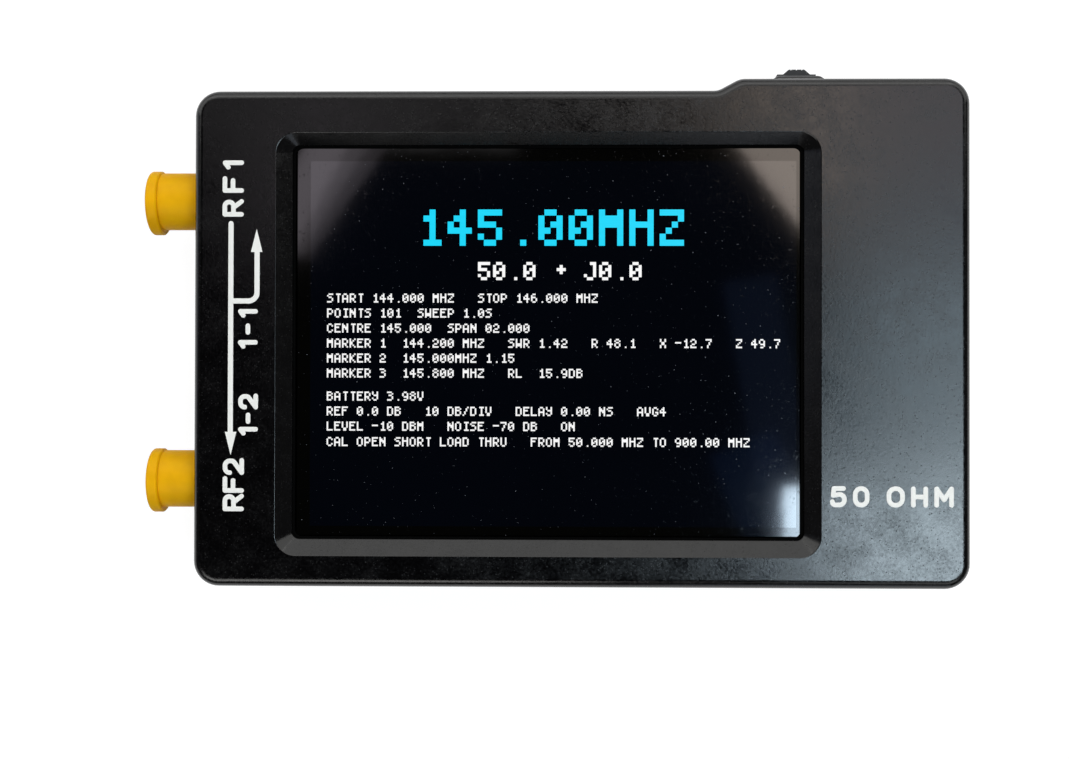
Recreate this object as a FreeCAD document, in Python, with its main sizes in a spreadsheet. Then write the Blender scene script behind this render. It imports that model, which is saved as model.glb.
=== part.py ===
"""Hand-held antenna analyzer: a moulded two-part case around one board, display, jacks and switches.

Millimetres. The origin is the middle of the flat back. +X runs to the USB end, +Y to the edge with
the jog lever and +Z out of the display. Every size is a cell of the sheet "Sizes", and the features
are bound to those cells, so a change in the sheet rebuilds the whole part.
"""
import FreeCAD, Part
import math
import os
import re

import Sketcher

SIZES = (
    # moulded case
    ("case_width", 91.5, "case, left to right"),
    ("case_height", 58.7, "case, bottom edge to top edge left of the step"),
    ("case_depth", 16.0, "case, back face to front face"),
    ("case_corner", 3.0, "corners of the case seen from the front"),
    ("case_round", 1.1, "rounding of the front and back edges"),
    ("case_wall", 1.8, "side walls"),
    ("front_plate", 2.0, "thickness of the front face"),
    ("back_plate", 1.8, "thickness of the back face"),
    ("step_rise", 1.4, "how far the top edge is raised over the jog lever"),
    ("ramp_foot", 16.2, "where the top edge starts to rise"),
    ("ramp_top", 18.8, "where the raised top edge starts"),
    ("ramp_round", 2.0, "rounding at both ends of the ramp"),
    ("seam_level", 9.2, "joint of the covers, middle of the board and axis of the jacks"),
    ("seam_bevel", 0.15, "bevel on both sides of the joint"),
    ("lip_inset", 1.0, "outer face of the groove, in from the outer wall"),
    ("lip_depth", 0.8, "height of the tongue"),
    ("lip_gap", 0.1, "clearance of the tongue in its groove"),
    # bezel round the display
    ("bezel_left", -36.0, "recess at the front face"),
    ("bezel_right", 28.2, "recess at the front face"),
    ("bezel_bottom", -25.65, "recess at the front face"),
    ("bezel_top", 24.3, "recess at the front face"),
    ("bezel_corner", 2.5, "corners of the recess at the front face"),
    ("bezel_edge", 0.15, "rounding where the recess meets the front face"),
    ("window_left", -34.25, "opening for the display"),
    ("window_right", 26.45, "opening for the display"),
    ("window_bottom", -23.8, "opening for the display"),
    ("window_top", 23.05, "opening for the display"),
    ("window_corner", 0.9, "corners of the opening"),
    ("window_rim", 0.5, "straight wall of the opening under the slopes"),
    ("window_edge", 0.12, "rounding where the slopes meet that wall"),
    # screws
    ("screw_across", 39.75, "screw axes from the middle, left and right"),
    ("screw_up", 24.0, "screw axes from the middle, top and bottom"),
    ("screw_radius", 0.95, "shank of a case screw"),
    ("screw_head_radius", 1.9, "pan head"),
    ("screw_head_tall", 1.4, "pan head"),
    ("screw_seat", 2.2, "depth of the head's pocket in the back"),
    ("screw_length", 10.5, "under the head"),
    ("drive_slot", 0.45, "width of the cross recess"),
    ("drive_reach", 1.1, "arm of the cross recess from the axis"),
    ("drive_depth", 0.7, "depth of the cross recess"),
    ("head_pocket_radius", 2.2, "pocket for the head in the back"),
    ("front_boss_radius", 2.5, "posts that the screws bite into"),
    ("back_boss_radius", 3.0, "posts that the screws pass through"),
    ("screw_way_radius", 1.15, "clearance hole in the back posts"),
    # board
    ("board_width", 85.5, "circuit board"),
    ("board_height", 54.0, "circuit board"),
    ("board_thick", 1.6, "circuit board"),
    ("board_corner", 1.5, "circuit board"),
    ("board_hole_radius", 1.2, "screw holes in the board"),
    # display stack
    ("module_left", -35.5, "display module"),
    ("module_width", 69.2, "display module"),
    ("module_bottom", -25.45, "display module"),
    ("module_height", 50.0, "display module"),
    ("module_corner", 0.6, "display module"),
    ("tape_thick", 0.3, "foam tape under the display"),
    ("tape_width", 4.0, "foam tape under the display"),
    ("frame_thick", 2.6, "white frame with the lamp sheet"),
    ("frame_rim", 0.9, "rim of the frame round the cell"),
    ("cell_thick", 1.5, "liquid crystal cell"),
    ("cell_gap", 0.2, "air between the cell and the touch panel"),
    ("gasket_thick", 0.3, "foam gasket between the touch panel and the front face"),
    ("gasket_show", 0.25, "how far the gasket stands into the opening"),
    ("gasket_cover", 1.2, "how far the gasket reaches under the front face"),
    ("rib_thick", 1.0, "ribs that place the display behind the front face"),
    ("rib_deep", 1.4, "ribs that place the display behind the front face"),
    ("rib_gap", 0.2, "clearance of the display in its ribs"),
    ("ribbon_width", 16.0, "display ribbon"),
    ("ribbon_thick", 0.15, "display ribbon"),
    ("ribbon_reach", 6.0, "how far the ribbon stands out to the right"),
    ("ribbon_bend", 0.45, "inner radius of the ribbon's bends"),
    # RF jacks and their dust caps
    ("jack_up", 17.0, "jack axes from the middle, top and bottom"),
    ("flange_side", 6.35, "square flange"),
    ("flange_thick", 1.7, "square flange"),
    ("flange_play", 0.125, "clearance round the flange in the wall's pocket"),
    ("flange_pocket", 0.8, "depth of that pocket"),
    ("jack_radius", 3.175, "threaded barrel, a quarter of an inch across"),
    ("jack_length", 6.65, "barrel in front of the flange"),
    ("jack_bevel", 0.3, "bevel at the mouth"),
    ("mouth_radius", 2.3, "bore that a plug enters"),
    ("mouth_depth", 1.9, "bore that a plug enters"),
    ("insulator_radius", 2.05, "white insulator"),
    ("contact_radius", 0.635, "centre contact"),
    ("socket_radius", 0.475, "bore of the centre contact"),
    ("socket_depth", 2.6, "bore of the centre contact"),
    ("tail_radius", 0.4, "solder tail of the centre contact"),
    ("tail_length", 2.0, "solder tail of the centre contact"),
    ("leg_side", 0.9, "solder legs above and below the board"),
    ("leg_length", 4.2, "solder legs above and below the board"),
    ("leg_spread", 2.6, "leg axes from the jack's axis"),
    ("jack_hole_radius", 3.85, "hole in the case for the cap"),
    ("cap_radius", 3.475, "body of the dust cap"),
    ("cap_fit", 0.05, "clearance of the cap on the barrel"),
    ("cap_end", 1.0, "end wall of the cap"),
    ("cap_gap", 0.15, "air between the jack's mouth and the cap's end wall"),
    ("cap_stand_off", 0.3, "air between the cap's open rim and the flange"),
    ("grip_radius", 3.89, "grip rim at the cap's outer end"),
    ("grip_length", 1.4, "grip rim at the cap's outer end"),
    ("cap_slack", 0.25, "how far the upper cap is short of its full seat"),
    ("grip_offset", 0.2, "the grip rim's centre below the cap's axis"),
    ("grip_round", 0.35, "rounding of the grip rim's outer edge"),
    ("grip_bevel", 0.15, "bevel of the grip rim's inner edge"),
    ("cap_dish", 0.35, "shallow dish in the cap's outer end"),
    ("dish_rim", 0.9, "rim left round that dish"),
    # USB socket
    ("usb_width", 8.94, "shell of the USB socket"),
    ("usb_tall", 3.26, "shell of the USB socket"),
    ("usb_length", 7.35, "shell of the USB socket"),
    ("usb_front", 43.55, "mouth of the shell"),
    ("usb_sheet", 0.3, "sheet thickness of the shell"),
    ("usb_back", 1.0, "solid back end of the shell"),
    ("tongue_width", 6.7, "tongue with the contacts"),
    ("tongue_thick", 0.7, "tongue with the contacts"),
    ("tongue_inset", 0.9, "tongue behind the shell's mouth"),
    ("usb_hole_width", 11.0, "hole in the case for a plug's grip"),
    ("usb_hole_tall", 6.0, "hole in the case for a plug's grip"),
    # jog switch on the underside of the board
    ("jog_middle", 26.6, "axis of the lever"),
    ("jog_half", 3.5, "housing, half its width"),
    ("jog_tall", 2.5, "housing, down from the board"),
    ("jog_rear", 22.0, "rear face of the housing"),
    ("jog_front", 27.4, "front face of the housing"),
    ("jog_shell", 0.9, "side and rear walls of the housing"),
    ("jog_roof", 0.5, "housing wall on the board"),
    ("jog_cover_thick", 0.25, "metal cover over the open side"),
    ("jog_tab", 1.2, "tabs of the metal cover"),
    ("carriage_rear", 23.9, "carriage that slides when the lever is pushed"),
    ("carriage_front", 26.6, "carriage that slides when the lever is pushed"),
    ("carriage_thick", 0.55, "carriage plate"),
    ("jog_play", 0.05, "running clearance in the housing"),
    ("pivot_up", 25.3, "pivot of the lever"),
    ("pivot_radius", 0.8, "pivot post on the carriage"),
    ("hub_radius", 1.5, "hub of the lever"),
    ("hub_thick", 1.2, "hub and arm of the lever"),
    ("arm_half", 1.2, "arm of the lever, half its width"),
    ("wing_half", 2.36, "stop wings of the lever, half their span"),
    ("wing_near", 32.35, "stop wings, near side"),
    ("wing_far", 32.8, "stop wings, far side"),
    ("nub_base_half", 1.65, "finger nub, half its width at the wings"),
    ("nub_tip_half", 0.95, "finger nub, half its width at the tip"),
    ("nub_tip", 33.4, "tip of the finger nub"),
    ("nub_tall", 2.2, "thickness of the nub and wings"),
    ("nub_groove", 0.12, "grip grooves across the nub"),
    ("jog_slot_half", 3.2, "slot in the case wall, half its width"),
    ("jog_slot_floor", 5.5, "lower end of that slot"),
    ("brow_thick", 1.2, "brows above and below the lever"),
    ("brow_reach", 1.5, "how far the brows stand out"),
    ("brow_base_half", 4.85, "brows at the wall, half their width"),
    ("brow_tip_half", 2.55, "brows at their edge, half their width"),
    ("brow_round", 0.8, "corners of the brows"),
    ("brow_edge", 0.55, "rounding of the brows' outer edges"),
    ("dome_rear", 22.9, "snap spring behind the carriage"),
    ("dome_rise", 0.45, "snap spring behind the carriage"),
    ("dome_half", 1.6, "snap spring, half its span"),
    ("dome_sheet", 0.12, "snap spring sheet"),
    ("tab_length", 0.9, "solder tabs of the switches"),
    ("tab_thick", 0.15, "solder tabs of the switches"),
    ("tab_half", 0.3, "solder tabs of the switches, half their width"),
    ("tab_pitch", 1.8, "solder tabs of the switches"),
    # power switch on the underside of the board
    ("power_left", 30.5, "switch frame"),
    ("power_width", 6.0, "switch frame"),
    ("power_rear", 24.4, "switch frame"),
    ("power_front", 27.2, "switch frame"),
    ("power_tall", 1.4, "switch frame, down from the board"),
    ("power_sheet", 0.3, "switch frame walls"),
    ("knob_middle", 32.75, "knob in its off place"),
    ("knob_half", 0.65, "knob, half its width"),
    ("knob_tip", 31.25, "tip of the knob"),
    ("knob_thick", 0.7, "knob, down from under the switch roof"),
    ("slider_half", 1.25, "slider inside the frame, half its width"),
    ("knob_travel", 1.5, "from off to on"),
    ("power_slot_gap", 0.35, "clearance round the knob in the case wall"),
    # battery
    ("battery_left", 8.5, "battery cell"),
    ("battery_width", 27.0, "battery cell"),
    ("battery_bottom", -21.0, "battery cell"),
    ("battery_height", 41.5, "battery cell"),
    ("battery_thick", 4.8, "battery cell"),
    ("battery_round", 1.2, "rounded long sides of the battery"),
    ("battery_pad", 0.2, "adhesive pad under the battery"),
    ("fence_thick", 1.0, "low ribs round the battery"),
    ("fence_tall", 1.6, "low ribs round the battery"),
    ("fence_gap", 0.4, "clearance of the battery in its ribs"),
    ("rest_width", 3.0, "posts that hold up the board's long sides"),
    ("rest_thick", 1.2, "posts that hold up the board's long sides"),
    ("lead_radius", 0.55, "insulated battery leads"),
    ("lead_drop", 1.6, "leads at the plug, down from the board"),
    ("lead_red_up", -24.7, "red lead at the plug"),
    ("lead_red_across", 15.5, "red lead at the cell's end"),
    ("lead_black_up", -22.9, "black lead at the plug"),
    ("lead_black_across", 12.5, "black lead at the cell's end"),
    ("lead_turn", 3.0, "length of the leads' bend towards the cell"),
    ("lead_drift", 0.4, "how far that bend comes nearer to the cell"),
    ("socket_left", 0.0, "battery socket"),
    ("socket_right", 4.5, "battery socket"),
    ("socket_low", -26.3, "battery socket"),
    ("socket_high", -21.3, "battery socket"),
    ("socket_tall", 3.2, "battery socket, down from the board"),
    ("socket_wall", 0.5, "side walls of the battery socket"),
    ("socket_end", 1.0, "end wall of the battery socket"),
    ("plug_gap", 0.1, "clearance of the battery plug in its socket"),
    ("plug_tail", 1.5, "how far the battery plug stands out of its socket"),
    # parts soldered under the board
    ("can_left", -37.0, "screening cans"),
    ("can_right", -9.0, "screening cans"),
    ("can_near", 4.0, "screening cans, side towards the middle"),
    ("can_far", 22.0, "screening cans, side towards the edge"),
    ("can_tall", 2.6, "screening cans"),
    ("can_sheet", 0.2, "screening cans"),
    ("can_round", 0.35, "bend of the can's sheet"),
    ("chip_tall", 1.0, "flat packages on the board"),
    ("controller_side", 7.0, "microcontroller"),
    ("codec_side", 5.0, "codec"),
    ("small_chip_side", 3.0, "clock and charger chips"),
    ("mixer_width", 4.9, "mixer chips"),
    ("mixer_height", 3.9, "mixer chips"),
    ("crystal_width", 3.2, "crystals"),
    ("crystal_height", 2.5, "crystals"),
    ("passive_long", 1.6, "chip resistors, capacitors and lights"),
    ("passive_short", 0.8, "chip resistors, capacitors and lights"),
    ("passive_pitch", 1.6, "rows of chip resistors and capacitors"),
)

PLANES = {
    # direction of a pad: (origin plane of its sketch, sign of the plane's normal)
    "X": ("YZ_Plane", 1),
    "Y": ("XZ_Plane", -1),
    "Z": ("XY_Plane", 1),
}
SIZE_NAME = re.compile(r"\b[a-z]\w*\b(?!\()")
PRECISE = 1e-6

# heights that several pieces share, as expressions of the sheet's cells
BOARD_TOP = "(seam_level + board_thick/2)"
BOARD_UNDER = "(seam_level - board_thick/2)"
PLATE_UNDER = "(case_depth - front_plate)"
FRAME_LOW = "(seam_level + board_thick/2 + tape_thick)"
FRAME_HIGH = "(seam_level + board_thick/2 + tape_thick + frame_thick)"
PANEL_TOP = "(case_depth - front_plate - gasket_thick)"
FLANGE_FRONT = "(-board_width/2 - flange_thick)"
JACK_MOUTH = "(-board_width/2 - flange_thick - jack_length)"
BROW_EDGE = "(case_height/2 + step_rise + brow_reach)"

doc = FreeCAD.newDocument("antenna_analyzer")
sheet = doc.addObject("Spreadsheet::Sheet", "Sizes")
nodes = []


def fill_sheet():
    """One row for each driving size: what it is, its value and its name."""
    for row, (name, size, meaning) in enumerate(SIZES, start=1):
        sheet.set("A%d" % row, meaning)
        sheet.set("B%d" % row, str(size))
        sheet.setAlias("B%d" % row, name)
    doc.recompute()


def bound(text):
    """An expression of size names as FreeCAD reads it, each name in the sheet."""
    return SIZE_NAME.sub(lambda name: "Sizes." + name.group(0), str(text))


def value(text):
    """The number that an expression of size names has now."""
    result = sheet.evalExpression(bound(text))
    return float(getattr(result, "Value", result))


# ---------------------------------------------------------------- closed loops for the sketches

def circle(across, up, radius):
    """A loop: a circle round a centre."""
    def draw(sketch):
        centre = FreeCAD.Vector(value(across), value(up), 0)
        edge = sketch.addGeometry(Part.Circle(centre, FreeCAD.Vector(0, 0, 1), value(radius)), False)
        bind(sketch, Sketcher.Constraint("Radius", edge, value(radius)), radius)
        hold(sketch, edge, 3, centre, across, up)
    return draw


def outline(*corners):
    """A loop of straight sides. Each corner is (across, up) or (across, up, rounding)."""
    corners = [corner if len(corner) == 3 else corner + (None,) for corner in corners]

    def draw(sketch):
        points = [FreeCAD.Vector(value(across), value(up), 0) for across, up, _ in corners]
        arcs = [corner_arc(points[n - 1], point, points[(n + 1) % len(points)], corners[n][2])
                for n, point in enumerate(points)]
        first = sketch.GeometryCount
        for n in range(len(points)):
            side = Part.LineSegment(arcs[n][1], arcs[(n + 1) % len(points)][0])
            sketch.addGeometry(side, False)
        for n, (across, up, rounding) in enumerate(corners):
            side_in = first + (n - 1) % len(corners)
            side_out = first + n
            if rounding is None:
                sketch.addConstraint(Sketcher.Constraint("Coincident", side_in, 2, side_out, 1))
                hold(sketch, side_out, 1, points[n], across, up)
                continue
            start, end = (1, 2) if arcs[n][3] else (2, 1)
            arc = sketch.addGeometry(arcs[n][2], False)
            sketch.addConstraint(Sketcher.Constraint("Tangent", side_in, 2, arc, start))
            sketch.addConstraint(Sketcher.Constraint("Tangent", arc, end, side_out, 1))
            bind(sketch, Sketcher.Constraint("Radius", arc, value(rounding)), rounding)
            tip = sketch.addGeometry(Part.Point(points[n]), True)
            sketch.addConstraint(Sketcher.Constraint("PointOnObject", tip, 1, side_in))
            sketch.addConstraint(Sketcher.Constraint("PointOnObject", tip, 1, side_out))
            hold(sketch, tip, 1, points[n], across, up)
    return draw


def corner_arc(before, corner, after, rounding):
    """Where a rounded corner starts and ends, its arc, and whether the arc turns left."""
    if rounding is None:
        return corner, corner, None, True
    radius = value(rounding)
    back, on = before - corner, after - corner
    back.normalize()
    on.normalize()
    half_angle = back.getAngle(on) / 2
    middle = back + on
    middle.normalize()
    centre = corner + middle * (radius / math.sin(half_angle))
    start = corner + back * (radius / math.tan(half_angle))
    end = corner + on * (radius / math.tan(half_angle))
    first = math.atan2(start.y - centre.y, start.x - centre.x)
    last = math.atan2(end.y - centre.y, end.x - centre.x)
    turns_left = (last - first) % math.tau < math.pi
    if not turns_left:
        first, last = last, first
    span = (last - first) % math.tau
    round_edge = Part.Circle(centre, FreeCAD.Vector(0, 0, 1), radius)
    return start, end, Part.ArcOfCircle(round_edge, first, first + span), turns_left


def bind(sketch, constraint, expression):
    """Add a constraint that a size drives."""
    number = sketch.addConstraint(constraint)
    sketch.setExpression("Constraints[%d]" % number, bound(expression))


def hold(sketch, geometry, point, place, across, up):
    """Hold a point of a sketch at its two coordinates."""
    bind(sketch, Sketcher.Constraint("DistanceX", -1, 1, geometry, point, place.x), across)
    bind(sketch, Sketcher.Constraint("DistanceY", -1, 1, geometry, point, place.y), up)


def rectangle(left, right, low, high, rounding=None):
    """A loop: a rectangle, with rounded corners if a rounding is given."""
    return outline((left, low, rounding), (right, low, rounding), (right, high, rounding),
                   (left, high, rounding))


def around(across, up, half_width, half_height, rounding=None):
    """A loop: a rectangle round its middle."""
    return rectangle("%s - %s" % (across, half_width), "%s + %s" % (across, half_width),
                     "%s - %s" % (up, half_height), "%s + %s" % (up, half_height), rounding)


# ---------------------------------------------------------------- pieces

class Piece:
    """A body whose label is its node's name. Each method adds one feature to it."""

    def __init__(self, label):
        self.body = doc.addObject("PartDesign::Body", label)
        self.body.Label = label
        self.volume = 0.0
        nodes.append(self.body)

    def sketch(self, axis, at, loops):
        role, sign = PLANES[axis]
        plane = next(part for part in self.body.Origin.OriginFeatures if part.Role == role)
        sketch = self.body.newObject("Sketcher::SketchObject", self.body.Label + "_sketch")
        sketch.AttachmentSupport = [(plane, "")]
        sketch.MapMode = "FlatFace"
        sketch.setExpression(".AttachmentOffset.Base.z", bound("%d * (%s)" % (sign, at)))
        for loop in loops:
            loop(sketch)
        return sketch

    def settle(self, grows):
        """Recompute, and make sure that the last feature did what it is there for."""
        doc.recompute()
        volume = self.body.Shape.Volume
        if abs(volume - self.volume) < PRECISE or (volume > self.volume) != grows:
            raise RuntimeError("%s: the last feature changed nothing" % self.body.Label)
        self.volume = volume

    def extrude(self, kind, axis, low, high, loops):
        sign = PLANES[axis][1]
        start = low if (kind == "Pad") == (sign > 0) else high
        sketch = self.sketch(axis, start, loops)
        feature = self.body.newObject("PartDesign::" + kind, self.body.Label + "_" + kind.lower())
        feature.Profile = sketch
        feature.setExpression("Length", bound("(%s) - (%s)" % (high, low)))
        self.settle(kind == "Pad")

    def pad(self, axis, low, high, *loops):
        """Add what the loops enclose, from one level to the other along an axis."""
        self.extrude("Pad", axis, low, high, loops)

    def cut(self, axis, low, high, *loops):
        """Take away what the loops enclose, from one level to the other along an axis."""
        self.extrude("Pocket", axis, low, high, loops)

    def cut_loft(self, axis, low, low_loop, high, high_loop):
        """Take away the slope-sided space between two loops."""
        sketches = [self.sketch(axis, level, [loop]) for level, loop in
                    ((high, high_loop), (low, low_loop))]
        feature = self.body.newObject("PartDesign::SubtractiveLoft", self.body.Label + "_loft")
        feature.Profile = sketches[0]
        feature.Sections = [(sketches[1], [""])]
        feature.Ruled = True
        self.settle(False)

    def dress(self, kind, size, chosen):
        """Round or bevel the edges that the test chooses."""
        edges = ["Edge%d" % (n + 1) for n, edge in enumerate(self.body.Shape.Edges) if chosen(edge)]
        if not edges:
            raise RuntimeError("%s: no edge to dress" % self.body.Label)
        base = self.body.Tip
        feature = self.body.newObject("PartDesign::" + kind, self.body.Label + "_" + kind.lower())
        feature.Base = (base, edges)
        feature.setExpression("Radius" if kind == "Fillet" else "Size", bound(size))
        self.settle(False)


def flat_at(axis, level):
    """A test for edges that lie whole in the plane at a level of an axis."""
    def chosen(edge):
        box = edge.BoundBox
        low, high = getattr(box, axis + "Min"), getattr(box, axis + "Max")
        return abs(low - value(level)) < 1e-3 and abs(high - value(level)) < 1e-3
    return chosen


def along(axis):
    """A test for straight edges that run along an axis."""
    def chosen(edge):
        box = edge.BoundBox
        other = [getattr(box, name + "Length") for name in "XYZ" if name != axis]
        return max(other) < 1e-3 and getattr(box, axis + "Length") > 1e-3
    return chosen


def both(*tests):
    return lambda edge: all(test(edge) for test in tests)


def wider(radius):
    """A test for edges that bend wider than a radius."""
    return lambda edge: edge.BoundBox.ZLength > 2 * value(radius) + 0.1


def within(left, right, low, high):
    """A test for edges whose middle is inside a rectangle seen from the front."""
    def chosen(edge):
        middle = edge.BoundBox.Center
        return value(left) < middle.x < value(right) and value(low) < middle.y < value(high)
    return chosen


def block(label, left, right, low, high, under, over, own_node=True):
    """A plain box between six faces."""
    box = doc.addObject("Part::Box", label)
    box.Label = label
    for name, first, last in (("Length", left, right), ("Width", low, high), ("Height", under, over)):
        box.setExpression(name, bound("(%s) - (%s)" % (last, first)))
    for name, first in (("x", left), ("y", low), ("z", under)):
        box.setExpression(".Placement.Base." + name, bound(first))
    if own_node:
        nodes.append(box)
    return box


def group(label, members):
    """Like pieces that stay separate solids in one node."""
    compound = doc.addObject("Part::Compound", label)
    compound.Label = label
    compound.Links = members
    nodes.append(compound)


# ---------------------------------------------------------------- moulded case

def case_outline(inset="0"):
    """The case seen from the front, drawn a distance inside its outer wall."""
    across = "(case_width/2 - %s)" % inset
    up = "(case_height/2 - %s)" % inset
    shift = "%s*tan(atan(step_rise/(ramp_top - ramp_foot))/2)" % inset
    corner = "case_corner - %s" % inset
    return outline(("-" + across, "-" + up, corner),
                   (across, "-" + up, corner),
                   (across, up + " + step_rise", corner),
                   ("ramp_top + " + shift, up + " + step_rise", "ramp_round - %s" % inset),
                   ("ramp_foot + " + shift, up, "ramp_round + %s" % inset),
                   ("-" + across, up, corner))


def screw_places():
    return [(x + "screw_across", y + "screw_up") for x in ("-", "") for y in ("-", "")]


def cut_side_openings(cover, low, high):
    """The jack holes, their flange pockets and the USB hole, where the joint of the covers splits them."""
    wall_out = "case_width/2 + 1"
    wall_in = "case_width/2 - case_wall - 0.1"
    pocket_half = "(flange_side/2 + flange_play)"
    for side in ("-", ""):
        cover.cut("X", "-(%s)" % wall_out, "-(%s)" % wall_in,
                  circle(side + "jack_up", "seam_level", "jack_hole_radius"))
        cover.cut("X", "-case_width/2 + case_wall - flange_pocket", "-(%s)" % wall_in,
                  rectangle("%sjack_up - %s" % (side, pocket_half),
                            "%sjack_up + %s" % (side, pocket_half),
                            low or "seam_level - " + pocket_half,
                            high or "seam_level + " + pocket_half))
    middle = "(seam_level - board_thick/2 - usb_tall/2)"
    cover.cut("X", wall_in, wall_out,
              around("0", middle, "usb_hole_width/2", "usb_hole_tall/2", "usb_hole_tall/2 - 0.01"))


def brow(cover, low, high, edge):
    """The wedge that stands out over or under the jog lever, rounded at its outer level."""
    wall = "case_height/2 + step_rise"
    cover.pad("Z", low, high,
              outline(("jog_middle - brow_base_half", wall + " - case_wall/2"),
                      ("jog_middle + brow_base_half", wall + " - case_wall/2"),
                      ("jog_middle + brow_base_half", wall),
                      ("jog_middle + brow_tip_half", BROW_EDGE, "brow_round"),
                      ("jog_middle - brow_tip_half", BROW_EDGE, "brow_round"),
                      ("jog_middle - brow_base_half", wall)))
    cover.dress("Fillet", "brow_edge",
                both(flat_at("Z", edge),
                     within("jog_middle - case_corner*2", "jog_middle + case_corner*2",
                            wall + " + brow_reach/20", BROW_EDGE + " + 1")))


def front_cover():
    cover = Piece("front_cover")
    cover.pad("Z", "seam_level", "case_depth", case_outline())
    cover.dress("Fillet", "case_round", flat_at("Z", "case_depth"))
    cover.dress("Chamfer", "seam_bevel", flat_at("Z", "seam_level"))
    cover.cut("Z", "seam_level", PLATE_UNDER, case_outline("case_wall"))
    cover.cut_loft("Z", PLATE_UNDER + " + window_rim",
                   rectangle("window_left", "window_right", "window_bottom", "window_top",
                             "window_corner"),
                   "case_depth",
                   rectangle("bezel_left", "bezel_right", "bezel_bottom", "bezel_top",
                             "bezel_corner"))
    cover.cut("Z", PLATE_UNDER, PLATE_UNDER + " + window_rim",
              rectangle("window_left", "window_right", "window_bottom", "window_top",
                        "window_corner"))
    cover.dress("Fillet", "bezel_edge",
                both(flat_at("Z", "case_depth"),
                     within("bezel_left - 1", "bezel_right + 1", "bezel_bottom - 1",
                            "bezel_top + 1")))
    cover.dress("Fillet", "window_edge", flat_at("Z", PLATE_UNDER + " + window_rim"))
    tongue(cover)
    for across, up in screw_places():
        cover.pad("Z", BOARD_TOP, PLATE_UNDER, circle(across, up, "front_boss_radius"))
        cover.cut("Z", BOARD_TOP, BOARD_TOP + " + screw_length/3", circle(across, up, "screw_radius"))
    display_ribs(cover)
    cut_side_openings(cover, "seam_level", None)
    brow(cover, "seam_level", "seam_level + brow_thick", "seam_level + brow_thick")


def tongue(cover):
    """The lip that drops into the back cover's groove, left out where something passes the wall."""
    low = "seam_level - lip_depth"
    cover.pad("Z", low, "seam_level", case_outline("(lip_inset + lip_gap)"), case_outline("case_wall"))
    left, right = "-case_width/2", "case_width/2"
    top = "case_height/2 + step_rise"
    inner = "(case_wall + 1)"
    for side in ("-", ""):
        cover.cut("Z", low, "seam_level",
                  rectangle(left, left + " + " + inner, side + "jack_up - flange_side/2 - 1",
                            side + "jack_up + flange_side/2 + 1"))
    cover.cut("Z", low, "seam_level",
              rectangle(right + " - " + inner, right, "-usb_hole_width/2 - 0.5",
                        "usb_hole_width/2 + 0.5"))
    cover.cut("Z", low, "seam_level",
              rectangle("jog_middle - jog_slot_half - 0.5",
                        "knob_middle + knob_travel + knob_half + power_slot_gap + 0.5",
                        top + " - " + inner, top))


def display_ribs(cover):
    """Four low ribs behind the front face that the display drops between."""
    right = "(module_left + module_width)"
    top = "(module_bottom + module_height)"
    middle_across = "(module_left + module_width/2)"
    middle_up = "(module_bottom + module_height/2)"
    low = PLATE_UNDER + " - rib_deep"
    near, far = "rib_gap", "(rib_gap + rib_thick)"
    cover.pad("Z", low, PLATE_UNDER,
              rectangle("module_left - " + far, "module_left - " + near,
                        middle_up + " - module_height/4", middle_up + " + module_height/4"))
    cover.pad("Z", low, PLATE_UNDER,
              rectangle(right + " + " + near, right + " + " + far,
                        middle_up + " + module_height/5", middle_up + " + module_height*2/5"))
    cover.pad("Z", low, PLATE_UNDER,
              rectangle(right + " + " + near, right + " + " + far,
                        middle_up + " - module_height*2/5", middle_up + " - module_height/5"))
    for low_side, high_side in (("module_bottom - " + far, "module_bottom - " + near),
                                (top + " + " + near, top + " + " + far)):
        cover.pad("Z", low, PLATE_UNDER,
                  rectangle(middle_across + " - module_width/3", middle_across + " + module_width/3",
                            low_side, high_side))


def back_cover():
    cover = Piece("back_cover")
    cover.pad("Z", "0", "seam_level", case_outline())
    cover.dress("Fillet", "case_round", flat_at("Z", "0"))
    cover.dress("Chamfer", "seam_bevel", flat_at("Z", "seam_level"))
    cover.cut("Z", "back_plate", "seam_level", case_outline("case_wall"))
    cover.cut("Z", "seam_level - lip_depth - lip_gap", "seam_level", case_outline("lip_inset"))
    for across, up in screw_places():
        cover.pad("Z", "back_plate", BOARD_UNDER, circle(across, up, "back_boss_radius"))
        cover.cut("Z", "0", BOARD_UNDER, circle(across, up, "screw_way_radius"))
        cover.cut("Z", "0", "screw_seat", circle(across, up, "head_pocket_radius"))
    battery_fence(cover)
    board_rests(cover)
    cut_side_openings(cover, None, "seam_level")
    wall_in = "case_height/2 + step_rise - case_wall - 0.1"
    wall_out = "case_height/2 + step_rise + 0.1"
    cover.cut("Y", wall_in, wall_out,
              rectangle("jog_middle - jog_slot_half", "jog_middle + jog_slot_half",
                        "jog_slot_floor", "seam_level"))
    cover.cut("Y", wall_in, wall_out,
              rectangle("knob_middle - knob_half - power_slot_gap",
                        "knob_middle + knob_travel + knob_half + power_slot_gap",
                        BOARD_UNDER + " - power_tall - power_slot_gap/2", "seam_level"))
    brow(cover, "jog_slot_floor - brow_thick", "jog_slot_floor", "jog_slot_floor - brow_thick")


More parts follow.
